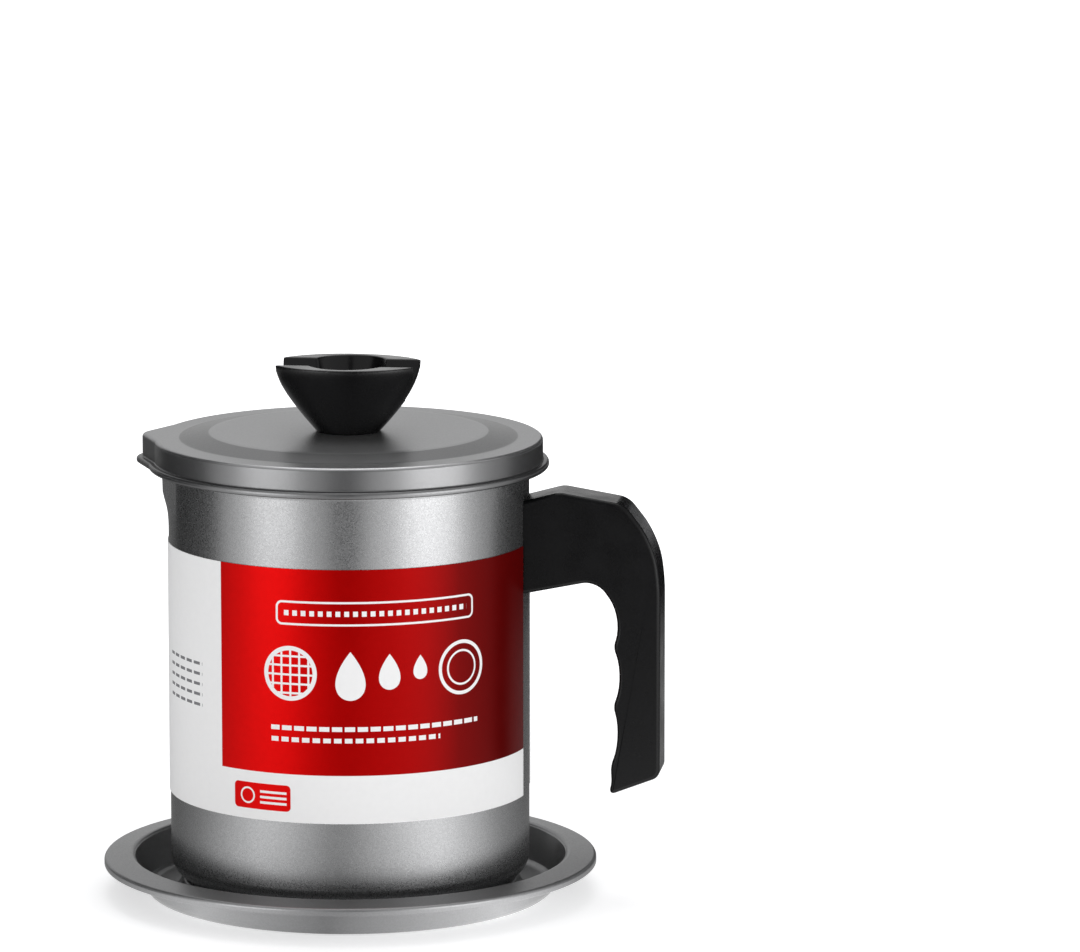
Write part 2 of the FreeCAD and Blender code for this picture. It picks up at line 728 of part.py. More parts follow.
def make_strainer():
    """The strainer's frame: rolled rim, wall with a beak, ledge for the mesh, turned-in foot."""
    body = new_body("strainer_frame", STRAINER_LEVEL)
    rim = new_sketch(body, "strainer_rim")
    beak_outline(rim, STRAINER_RIM, f"{STRAINER_RIM} + strainer_rim_reach",
                 f"strainer_tip_radius + {STRAINER_RIM} - {STRAINER_WALL}",
                 "strainer_beak_spread")
    pad(body, rim, "strainer_rim_height")
    round_edges(body, "strainer_rim_edges", "strainer_rim_round",
                lambda edge: level_edge(edge, "0") or level_edge(edge, "strainer_rim_height"))
    corner = "strainer_corner_radius"
    wall = new_sketch(body, "strainer_wall", level=f"{STRAINER_FOOT} + {corner}")
    strainer_outline(wall, STRAINER_WALL)
    pad(body, wall, f"strainer_depth - {corner}")
    strainer_round(body, "strainer_corner", STRAINER_WALL, corner, STRAINER_FOOT, "AdditiveLoft")
    ledge_foot = f"{MESH_FOOT} - mesh_ledge_thickness"
    foot_floor = f"{STRAINER_FOOT} + strainer_sheet"
    bend = "(strainer_corner_radius - strainer_sheet)"
    steps = [
        ("basket", STRAINER_BORE, "strainer_rim_height", MESH_FOOT),
        ("ledge", f"({STRAINER_BORE} - mesh_ledge)", MESH_FOOT, ledge_foot),
        ("hollow", STRAINER_BORE, ledge_foot, f"{foot_floor} + {bend}"),
        ("foot", f"({STRAINER_WALL} - strainer_foot_width)", f"{foot_floor} + {bend}", STRAINER_FOOT),
    ]
    for name, radius, top, bottom in steps:
        cut = new_sketch(body, f"strainer_{name}", level=top)
        strainer_outline(cut, radius)
        pad(body, cut, f"({top}) - ({bottom})", "Pocket")
    strainer_round(body, "strainer_hollow_corner", STRAINER_BORE, bend, foot_floor, "SubtractiveLoft")
    return body


def make_mesh():
    """The woven mesh as one flat sheet with square gaps set on the diagonal."""
    radius = f"({STRAINER_BORE} - thread_clearance)"
    edge = beak_elements(radius, f"{radius} + {STRAINER_BEAK}",
                         "strainer_tip_radius - strainer_sheet", "strainer_beak_spread")
    rim = Part.Wire([element.toShape() for element in edge])
    pitch = number("mesh_pitch")
    half_gap = (pitch - number("mesh_wire")) / 2
    limit = number(f"{STRAINER_BORE} - mesh_ledge") - half_gap
    diagonal = FreeCAD.Rotation(FreeCAD.Vector(0, 0, 1), number("mesh_angle"))
    reach = math.ceil(limit / pitch)
    gaps = []
    for column in range(-reach, reach + 1):
        for line in range(-reach, reach + 1):
            centre = FreeCAD.Vector(column * pitch, line * pitch, 0)
            if centre.Length > limit:
                continue
            corners = [centre + FreeCAD.Vector(x * half_gap, y * half_gap, 0)
                       for x, y in ((-1, -1), (-1, 1), (1, 1), (1, -1), (-1, -1))]
            gaps.append(Part.makePolygon([diagonal.multVec(corner) for corner in corners]))
    print("mesh gaps:", len(gaps))
    sheet_face = Part.Face([rim] + gaps, "Part::FaceMakerBullseye")
    mesh = doc.addObject("Part::Feature", "strainer_mesh")
    mesh.Label = "strainer_mesh"
    mesh.Shape = sheet_face.extrude(FreeCAD.Vector(0, 0, number("mesh_thickness")))
    mesh.Placement = FreeCAD.Placement(
        FreeCAD.Vector(0, 0, number(f"{STRAINER_LEVEL} + {MESH_FOOT}")), FreeCAD.Rotation())
    return mesh


LID_RADIUS = "(pot_radius + pot_rim_overhang + lid_clearance + lid_sheet)"
LID_DISC_FOOT = f"({LID_RADIUS} - lid_ring_width)"
LID_DISC = f"({LID_DISC_FOOT} - lid_disc_skirt)"


def lid_outline(sketch, radius):
    """The lid's wall outline, or one parallel to it."""
    beak_outline(sketch, radius, f"{radius} + lid_beak_reach",
                 f"lid_tip_radius + {radius} - {LID_RADIUS}", "lid_beak_spread")


def make_lid():
    """The pressed lid: raised centre, flat ring, skirt with a beak, and a rolled bottom bead."""
    body = new_body("lid_shell", LID_LEVEL)
    foot = "lid_sheet - lid_height"
    bead = new_sketch(body, "lid_bead", level=foot)
    lid_outline(bead, f"({LID_RADIUS} + lid_bead_width)")
    pad(body, bead, "lid_bead_height")
    round_edges(body, "lid_bead_edges", "lid_bead_round",
                lambda edge: level_edge(edge, foot) or level_edge(edge, f"{foot} + lid_bead_height"))
    skirt = new_sketch(body, "lid_skirt", level=foot)
    lid_outline(skirt, LID_RADIUS)
    pad(body, skirt, "lid_height")
    rises = {}
    for name, radius, level in (("foot", LID_DISC_FOOT, "lid_sheet"),
                                ("top", LID_DISC, "lid_sheet + lid_disc_height"),
                                ("under_foot", LID_DISC_FOOT, "0"),
                                ("under_top", LID_DISC, "lid_disc_height")):
        rises[name] = new_sketch(body, f"lid_disc_{name}", level=level)
        circle(rises[name], radius)
    loft(body, [rises["foot"], rises["top"]])
    round_edges(body, "lid_top_edge", "lid_edge_round",
                lambda edge: outer_edge(edge, LID_RADIUS, "lid_sheet"))
    inside = new_sketch(body, "lid_inside", level=foot)
    lid_outline(inside, f"({LID_RADIUS} - lid_sheet)")
    pad(body, inside, "lid_height - lid_sheet", "Pocket", reverse=True)
    loft(body, [rises["under_foot"], rises["under_top"]], "SubtractiveLoft")
    hole = new_sketch(body, "lid_hole")
    circle(hole, "screw_radius + socket_clearance")
    pad(body, hole, "lid_disc_height + lid_sheet + cut_margin", "Pocket", reverse=True)
    return body


KNOB_LEVEL = f"{LID_LEVEL} + lid_sheet + lid_disc_height"


def knob_section(sketch, half_length, half_width):
    """An oval of four arcs, with its corners on the ellipse of the same size."""
    along, beside = "cos(knob_corner_angle)", "sin(knob_corner_angle)"
    x, y = f"{half_length} * {along}", f"{half_width} * {beside}"
    side_rise = f"({half_width} * (1 - {beside}))"
    end_rise = f"({half_length} * (1 - {along}))"
    side_radius = f"(({x}) ^ 2 + {side_rise} ^ 2) / (2 * {side_rise})"
    end_radius = f"(({y}) ^ 2 + {end_rise} ^ 2) / (2 * {end_rise})"
    outline(sketch, [(x, f"-{y}"), (x, y), (f"-{x}", y), (f"-{x}", f"-{y}")],
            {0: (end_radius, -1), 1: (side_radius, -1), 2: (end_radius, -1), 3: (side_radius, -1)})


def make_knob():
    """The moulded knob: two wings that flare upwards, with a groove and a bowl between them."""
    body = new_body("lid_knob", KNOB_LEVEL)
    waist = "knob_waist_share"
    middle = [f"(knob_base_radius + ({size} - knob_base_radius) * {waist})"
              for size in ("knob_half_length", "knob_half_width")]
    sections = []
    for name, level, length, width in (
            ("base", "0", "knob_base_radius", "knob_base_radius"),
            ("middle", "knob_height / 2", *middle),
            ("top", "knob_height", "knob_half_length", "knob_half_width")):
        sections.append(new_sketch(body, f"knob_{name}", level=level))
        knob_section(sections[-1], length, width)
    loft(body, sections)
    groove = new_sketch(body, "knob_groove", "YZ_Plane")
    floor = "(knob_height - knob_groove_depth)"
    groove_lean = "(knob_groove_width - knob_groove_floor) / knob_groove_depth"
    groove_top = f"(knob_groove_width + cut_margin * {groove_lean}) / 2"
    outline(groove, [
        ("-knob_groove_floor / 2", floor),
        ("knob_groove_floor / 2", floor),
        (groove_top, "knob_height + cut_margin"),
        (f"-{groove_top}", "knob_height + cut_margin"),
    ])
    pad(body, groove, "2 * (knob_half_length + cut_margin)", "Pocket", middle=True)
    bowl = new_sketch(body, "knob_bowl", "XZ_Plane")
    bowl_lean = "(knob_bowl_radius - knob_bowl_floor) / knob_bowl_depth"
    outline(bowl, [
        ("0", "knob_height - knob_bowl_depth"),
        ("knob_bowl_floor", "knob_height - knob_bowl_depth"),
        (f"knob_bowl_radius + cut_margin * {bowl_lean}", "knob_height + cut_margin"),
        ("0", "knob_height + cut_margin"),
    ])
    turn(body, bowl, "Groove")
    round_edges(body, "knob_lip_rounds", "knob_edge_round",
                lambda edge: level_edge(edge, "knob_height"))
    socket = new_sketch(body, "knob_socket")
    circle(socket, "insert_radius")
    pad(body, socket, "insert_length", "Pocket", reverse=True)
    return body


def make_insert():
    """The brass insert moulded in the knob, tapped for the screw."""
    body = new_body("knob_insert", KNOB_LEVEL)
    tube = new_sketch(body, "insert_tube")
    circle(tube, "insert_radius")
    circle(tube, "screw_radius + thread_clearance")
    pad(body, tube, "insert_length")
    return body


def make_washer():
    """The washer between the knob screw's head and the lid."""
    body = new_body("knob_washer", f"{LID_LEVEL} + lid_disc_height - washer_thickness")
    ring = new_sketch(body, "washer_ring")
    circle(ring, "washer_radius")
    circle(ring, "screw_radius + socket_clearance")
    pad(body, ring, "washer_thickness")
    return body


def check(item):
    """Stop if a sub-part has failed."""
    shape = item.Shape
    if shape.isNull() or not shape.isValid() or not shape.Solids:
        raise RuntimeError(f"{item.Label} has no valid solid")


parts = [
    make_tray(),
    make_pot(),
    make_label(),
    make_handle(),
    make_bracket(),
    make_nut(),
    make_screw("handle_screw", f"{POT_LEVEL} + {SCREW_BED}",
               "screw_bed_thickness + socket_clearance + tongue_thickness + nut_height", SCREW_PLACE),
    make_strainer(),
    make_mesh(),
    make_lid(),
    make_knob(),
    make_insert(),
    make_washer(),
    make_screw("knob_screw", f"{LID_LEVEL} + lid_disc_height - washer_thickness",
               "washer_thickness + lid_sheet + knob_screw_reach"),
]
doc.recompute()
for item in doc.Objects:
    if "Invalid" in item.State or "Error" in item.State:
        raise RuntimeError(f"{item.Name} failed: {item.State}")
os.makedirs("parts", exist_ok=True)
for item in parts:
    check(item)
    item.Shape.exportStep(f"parts/{item.Label}.step")
    box = item.Shape.BoundBox
    print(item.Label, len(item.Shape.Solids), round(item.Shape.Volume, 1),
          [round(value, 2) for value in (box.XMin, box.XMax, box.YMin, box.YMax, box.ZMin, box.ZMax)])
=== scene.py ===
import json
import math

import bmesh
import bpy
from mathutils import Matrix, Vector

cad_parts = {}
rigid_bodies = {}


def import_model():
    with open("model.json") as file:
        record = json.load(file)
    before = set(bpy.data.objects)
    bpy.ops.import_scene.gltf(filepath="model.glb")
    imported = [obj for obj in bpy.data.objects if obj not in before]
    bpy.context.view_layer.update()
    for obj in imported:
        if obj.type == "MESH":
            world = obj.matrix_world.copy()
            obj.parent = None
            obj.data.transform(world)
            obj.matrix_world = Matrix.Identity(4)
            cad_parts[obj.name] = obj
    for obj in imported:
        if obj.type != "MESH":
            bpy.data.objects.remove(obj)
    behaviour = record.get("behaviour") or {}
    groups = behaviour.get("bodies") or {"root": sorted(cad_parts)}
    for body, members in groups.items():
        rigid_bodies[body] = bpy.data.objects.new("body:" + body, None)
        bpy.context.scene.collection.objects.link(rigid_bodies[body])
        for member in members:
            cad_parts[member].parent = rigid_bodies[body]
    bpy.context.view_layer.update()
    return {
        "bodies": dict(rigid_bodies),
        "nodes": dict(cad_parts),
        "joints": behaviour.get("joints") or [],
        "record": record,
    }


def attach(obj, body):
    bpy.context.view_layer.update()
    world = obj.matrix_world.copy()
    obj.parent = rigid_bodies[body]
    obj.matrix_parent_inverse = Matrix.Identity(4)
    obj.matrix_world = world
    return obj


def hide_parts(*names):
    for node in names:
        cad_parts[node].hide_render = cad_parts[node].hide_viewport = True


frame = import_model()

MM = 0.001
MM_IN_METRE = 1000.0
scene = bpy.context.scene


# Node groups and materials

def new_group(name, inputs, outputs):
    """A shader node group: inputs are (name, default), outputs are (name, socket type)."""
    group = bpy.data.node_groups.new(name, "ShaderNodeTree")
    for label, value in inputs:
        socket = group.interface.new_socket(label, in_out="INPUT", socket_type="NodeSocketFloat")
        socket.default_value = value
    for label, kind in outputs:
        group.interface.new_socket(label, in_out="OUTPUT", socket_type=kind)
    return group, group.nodes.new("NodeGroupInput"), group.nodes.new("NodeGroupOutput")


def add(tree, kind, links=None, **settings):
    """Add a node, set its properties and inputs, and link it."""
    node = tree.nodes.new(kind)
    for key, value in settings.items():
        setattr(node, key, value)
    for key, source in (links or {}).items():
        if isinstance(source, bpy.types.NodeSocket):
            tree.links.new(source, node.inputs[key])
        else:
            node.inputs[key].default_value = source
    return node


def calc(tree, operation, *values):
    """A Math node; returns its output."""
    return add(tree, "ShaderNodeMath", dict(enumerate(values)), operation=operation).outputs[0]


def object_place(tree):
    """The object coordinates as X, Y and Z sockets, in metres."""
    place = add(tree, "ShaderNodeTexCoord").outputs["Object"]
    return add(tree, "ShaderNodeSeparateXYZ", {"Vector": place}).outputs


def axis_distance(tree, x, y):
    """The distance from the upright axis."""
    squares = [calc(tree, "MULTIPLY", side, side) for side in (x, y)]
    return calc(tree, "SQRT", calc(tree, "ADD", *squares))


def noise(tree, scale, detail=3.0, **links):
    """Plain noise between 0 and 1, on object coordinates where no other place is given."""
    if "Vector" not in links:
        links["Vector"] = add(tree, "ShaderNodeTexCoord").outputs["Object"]
    return add(tree, "ShaderNodeTexNoise", {"Scale": scale, "Detail": detail, **links}).outputs[0]


def link_relief(tree, shader, height, strength, depth=0.0001):
    """Fine relief from a height socket. Depth is in metres."""
    bump = add(tree, "ShaderNodeBump", {"Height": height, "Strength": strength, "Distance": depth})
    tree.links.new(bump.outputs[0], shader.inputs["Normal"])


def make_flake_group():
    """Metal flakes in paint: fine specks that are lighter or darker, and slow cloudy change."""
    group, given, result = new_group(
        "metal_flakes",
        [("Flake size mm", 0.35), ("Speck strength", 0.15), ("Cloud strength", 0.05)],
        [("Tone", "NodeSocketFloat"), ("Gloss change", "NodeSocketFloat")])
    place = add(group, "ShaderNodeTexCoord").outputs["Object"]
    density = calc(group, "DIVIDE", MM_IN_METRE, given.outputs["Flake size mm"])
    specks = add(group, "ShaderNodeTexVoronoi", {"Vector": place, "Scale": density}, feature="F1")
    hue = add(group, "ShaderNodeSeparateColor", {"Color": specks.outputs["Color"]})
    speck = calc(group, "SUBTRACT", hue.outputs["Red"], 0.5)
    speck = calc(group, "MULTIPLY", speck, given.outputs["Speck strength"])
    cloud = calc(group, "SUBTRACT", noise(group, 26.0, Vector=place), 0.5)
    cloud = calc(group, "MULTIPLY", cloud, given.outputs["Cloud strength"])
    tone = calc(group, "ADD", calc(group, "ADD", speck, cloud), 0.5)
    group.links.new(tone, result.inputs["Tone"])
    shift = calc(group, "SUBTRACT", hue.outputs["Green"], 0.5)
    shift = calc(group, "MULTIPLY", shift, given.outputs["Speck strength"])
    group.links.new(shift, result.inputs["Gloss change"])
    return group


def make_grain_group():
    """Fine moulded or rolled grain as a height, with a slow change of gloss."""
    group, given, result = new_group(
        "surface_grain",
        [("Grain size mm", 0.6), ("Patch size mm", 14.0), ("Patch strength", 0.1)],
        [("Height", "NodeSocketFloat"), ("Gloss change", "NodeSocketFloat")])
    place = add(group, "ShaderNodeTexCoord").outputs["Object"]
    fine_scale = calc(group, "DIVIDE", MM_IN_METRE, given.outputs["Grain size mm"])
    group.links.new(noise(group, fine_scale, 2.0, Vector=place), result.inputs["Height"])
    patch_scale = calc(group, "DIVIDE", MM_IN_METRE, given.outputs["Patch size mm"])
    change = calc(group, "SUBTRACT", noise(group, patch_scale, Vector=place), 0.5)
    change = calc(group, "MULTIPLY", change, given.outputs["Patch strength"])
    group.links.new(change, result.inputs["Gloss change"])
    return group


def make_spun_group():
    """Fine rings that polishing leaves on a spun or drawn wall, as a height and a change of gloss."""
    group, given, result = new_group(
        "polish_rings", [("Ring size mm", 0.5), ("Strength", 0.1)],
        [("Height", "NodeSocketFloat"), ("Gloss change", "NodeSocketFloat")])
    x, y, z = object_place(group)
    level = calc(group, "ADD", z, axis_distance(group, x, y))
    scale = calc(group, "DIVIDE", MM_IN_METRE, given.outputs["Ring size mm"])
    rings = add(group, "ShaderNodeTexNoise", {"W": level, "Scale": scale, "Detail": 2.0},
                noise_dimensions="1D").outputs[0]
    group.links.new(rings, result.inputs["Height"])
    change = calc(group, "MULTIPLY", calc(group, "SUBTRACT", rings, 0.5), given.outputs["Strength"])
    group.links.new(change, result.inputs["Gloss change"])
    return group


def make_lid_painted_shade_group():
    """Painted shade on the lid's coat, where it is darker: wholly on the skirt under its edge, partly on the
    sloping band.
    """
    group, given, result = new_group(
        "lid_painted_shade",
        [("Skirt top mm", 160.2), ("Band inner mm", 48.4), ("Band outer mm", 58.6), ("Band share", 0.8)],
        [("Mask", "NodeSocketFloat")])
    skirt_top, inner, outer, share = given.outputs[:4]
    x, y, z = [calc(group, "MULTIPLY", part, MM_IN_METRE) for part in object_place(group)]
    distance = axis_distance(group, x, y)

    def above(value, edge, softness):
        step = calc(group, "DIVIDE", calc(group, "SUBTRACT", value, edge), softness)
        return add(group, "ShaderNodeClamp", {"Value": step}).outputs[0]

    skirt = calc(group, "SUBTRACT", 1.0, above(z, skirt_top, 0.4))
    inside = calc(group, "SUBTRACT", 1.0, above(distance, outer, 0.5))
    band = calc(group, "MULTIPLY", above(distance, inner, 0.5), inside)
    band = calc(group, "MULTIPLY", band, share)
    group.links.new(calc(group, "MAXIMUM", skirt, band), result.inputs["Mask"])
    return group


METAL_FLAKES = make_flake_group()
SURFACE_GRAIN = make_grain_group()
POLISH_RINGS = make_spun_group()
LID_PAINTED_SHADE = make_lid_painted_shade_group()


def new_material(name, **values):
    """A Principled material with the given constants on its own sockets."""
    material = bpy.data.materials.new(name)
    material.use_nodes = True
    shader = material.node_tree.nodes["Principled BSDF"]
    for key, value in values.items():
        shader.inputs[key.replace("_", " ")].default_value = value
    return material, material.node_tree, shader


def use_group(tree, group, **values):
    """Place a node group with its own values."""
    node = add(tree, "ShaderNodeGroup", node_tree=group)
    for key, value in values.items():
        node.inputs[key.replace("_", " ")].default_value = value
    return node


def blend_colours(tree, factor, first, second):
    """Mix two colours, either of which may be a socket."""
    first, second = [colour if isinstance(colour, bpy.types.NodeSocket) else (*colour, 1)
                     for colour in (first, second)]
    # Of the mix node's sockets, 6 and 7 take its colours and output 2 gives their mix.
    return add(tree, "ShaderNodeMix", {0: factor, 6: first, 7: second}, data_type="RGBA").outputs[2]


def grey(level):
    """A grey with a trace of blue."""
    return (level, level * 1.005, level * 1.02)


# How much of its tone the coat keeps where a painted-shade group darkens it wholly
PAINTED_SHADE_SHARE = 0.42


def coated_metal(name, dark, light, roughness, metallic=0.75, speck=0.5, painted_shade=None):
    """Grey coating with metal flakes in it, over pressed steel. A painted-shade group, where given, says
    where painted shade darkens it.
    """
    material, tree, shader = new_material(name, Metallic=metallic, Specular_IOR_Level=0.4,
                                          Specular_Tint=(0.6, 0.6, 0.6, 1))
    flakes = use_group(tree, METAL_FLAKES, Flake_size_mm=0.4, Speck_strength=speck, Cloud_strength=0.3)
    tone = flakes.outputs["Tone"]
    colour = blend_colours(tree, tone, grey(dark), grey(light))
    if painted_shade:
        # Painted shade: a darker copy of the coat's tones, blended in where the group's mask says.
        painted_shade_copy = blend_colours(tree, tone, grey(dark * PAINTED_SHADE_SHARE), grey(light * PAINTED_SHADE_SHARE))
        colour = blend_colours(tree, use_group(tree, painted_shade).outputs[0], colour, painted_shade_copy)
    tree.links.new(colour, shader.inputs["Base Color"])
    gloss = calc(tree, "MULTIPLY_ADD", flakes.outputs["Gloss change"], 0.4, roughness)
    tree.links.new(gloss, shader.inputs["Roughness"])
    grain = use_group(tree, SURFACE_GRAIN, Grain_size_mm=0.7, Patch_size_mm=20.0, Patch_strength=0.1)
    link_relief(tree, shader, grain.outputs["Height"], 0.04)
    return material


def bare_metal(name, dark, light, roughness, tint=(1.0, 1.0, 1.0), ring=0.5, strength=0.08):
    """Bare metal with the fine rings that polishing leaves."""
    material, tree, shader = new_material(name, Metallic=1.0)
    rings = use_group(tree, POLISH_RINGS, Ring_size_mm=ring, Strength=strength)
    first, second = [tuple(level * part for part in tint) for level in (dark, light)]
    tree.links.new(blend_colours(tree, rings.outputs["Height"], first, second), shader.inputs["Base Color"])
    gloss = calc(tree, "ADD", rings.outputs["Gloss change"], roughness)
    tree.links.new(gloss, shader.inputs["Roughness"])
    link_relief(tree, shader, rings.outputs["Height"], 0.04, 0.00005)
    return material


def black_moulding(name, roughness, shine):
    """Black moulded plastic: a faint grain, and slow changes of gloss from handling."""
    material, tree, shader = new_material(name, Specular_IOR_Level=shine)
    grain = use_group(tree, SURFACE_GRAIN, Grain_size_mm=0.8, Patch_size_mm=11.0, Patch_strength=0.25)
    colour = blend_colours(tree, grain.outputs["Height"], (0.002, 0.002, 0.0022), (0.006, 0.006, 0.0065))
    tree.links.new(colour, shader.inputs["Base Color"])
    gloss = calc(tree, "ADD", grain.outputs["Gloss change"], roughness)
    tree.links.new(gloss, shader.inputs["Roughness"])
    link_relief(tree, shader, grain.outputs["Height"], 0.12)
    return material


TRAY_COAT = coated_metal("tray_coat", 0.18, 0.27, 0.33, speck=0.25)
POT_COAT = coated_metal("pot_coat", 0.16, 0.27, 0.31, metallic=0.92, speck=0.3)
POT_INSIDE = coated_metal("pot_inside_coat", 0.09, 0.15, 0.42)
# The lid's coat carries painted shade on its skirt and sloping band.
LID_COAT = coated_metal("lid_coat", 0.30, 0.38, 0.31, metallic=0.88, speck=0.16, painted_shade=LID_PAINTED_SHADE)
STRAINER_STEEL = bare_metal("strainer_steel", 0.25, 0.31, 0.2, strength=0.05)
MESH_STEEL = bare_metal("mesh_steel", 0.84, 0.96, 0.32)
FASTENER_STEEL = bare_metal("fastener_steel", 0.5, 0.66, 0.32)
BRACKET_STEEL = bare_metal("bracket_steel", 0.42, 0.56, 0.4, ring=1.2)
INSERT_BRASS = bare_metal("insert_brass", 0.6, 0.75, 0.3, tint=(1.0, 0.8, 0.42))
HANDLE_BLACK = black_moulding("handle_plastic", 0.28, 0.12)
KNOB_BLACK = black_moulding("knob_plastic", 0.26, 0.2)


def make_box_mask_group():
    """A rounded box on the print: 1 inside and 0 outside, in millimetres."""
    group, given, result = new_group(
        "rounded_box_mask",
        [("Across", 0.0), ("Up", 0.0), ("Centre across", 0.0), ("Centre up", 0.0),
         ("Half width", 1.0), ("Half height", 1.0), ("Corner", 0.0)],
        [("Mask", "NodeSocketFloat")])
    across, up, centre_across, centre_up, half_width, half_height, corner = given.outputs[:7]
    sides = []
    for place, centre, half in ((across, centre_across, half_width), (up, centre_up, half_height)):
        distance = calc(group, "ABSOLUTE", calc(group, "SUBTRACT", place, centre))
        sides.append(calc(group, "SUBTRACT", distance, calc(group, "SUBTRACT", half, corner)))
    outside = [calc(group, "MAXIMUM", side, 0.0) for side in sides]
    squares = [calc(group, "MULTIPLY", side, side) for side in outside]
    reach = calc(group, "SQRT", calc(group, "ADD", *squares))
    inside = calc(group, "MINIMUM", calc(group, "MAXIMUM", *sides), 0.0)
    edge = calc(group, "SUBTRACT", calc(group, "ADD", reach, inside), corner)
    mask = add(group, "ShaderNodeMapRange", {"Value": edge, "From Min": 0.06, "From Max": -0.06})
    group.links.new(mask.outputs[0], result.inputs["Mask"])
    return group


def make_drop_mask_group():
    """A drop that points up: its half width swells from the foot and runs out at the tip."""
    group, given, result = new_group(
        "drop_mask",
        [("Across", 0.0), ("Up", 0.0), ("Centre across", 0.0), ("Foot", 0.0), ("Half width", 1.0),
         ("Height", 1.0)],
        [("Mask", "NodeSocketFloat")])
    across, up, centre, foot, half_width, height = given.outputs[:6]
    level = calc(group, "DIVIDE", calc(group, "SUBTRACT", up, foot), height)
    level = add(group, "ShaderNodeClamp", {"Value": level}).outputs[0]
    swell = calc(group, "MULTIPLY", calc(group, "SQRT", level), calc(group, "SUBTRACT", 1.0, level))
    width = calc(group, "MULTIPLY", calc(group, "MULTIPLY", swell, 2.6), half_width)
    distance = calc(group, "ABSOLUTE", calc(group, "SUBTRACT", across, centre))
    edge = calc(group, "SUBTRACT", distance, width)
    mask = add(group, "ShaderNodeMapRange", {"Value": edge, "From Min": 0.0, "From Max": -0.12})
    group.links.new(mask.outputs[0], result.inputs["Mask"])
    return group


def make_bars_group():
    """Even bars across the print: 1 on a bar and 0 in a gap."""
    group, given, result = new_group(
        "even_bars", [("Place", 0.0), ("Pitch", 2.0), ("Filled share", 0.5)], [("Mask", "NodeSocketFloat")])
    place, pitch, share = given.outputs[:3]
    cycle = calc(group, "FRACT", calc(group, "DIVIDE", place, pitch))
    group.links.new(calc(group, "LESS_THAN", cycle, share), result.inputs["Mask"])
    return group


BOX_MASK = make_box_mask_group()
DROP_MASK = make_drop_mask_group()
EVEN_BARS = make_bars_group()

# The wrap's size, in millimetres and degrees. Its print is laid out across from the front's middle, and up
# from its lower edge.
LABEL_RADIUS, LABEL_FOOT, LABEL_HEIGHT = 63.15, 37.2, 88.2
LABEL_START, LABEL_SWEEP, LABEL_FRONT = 9.0, 342.0, 277.0


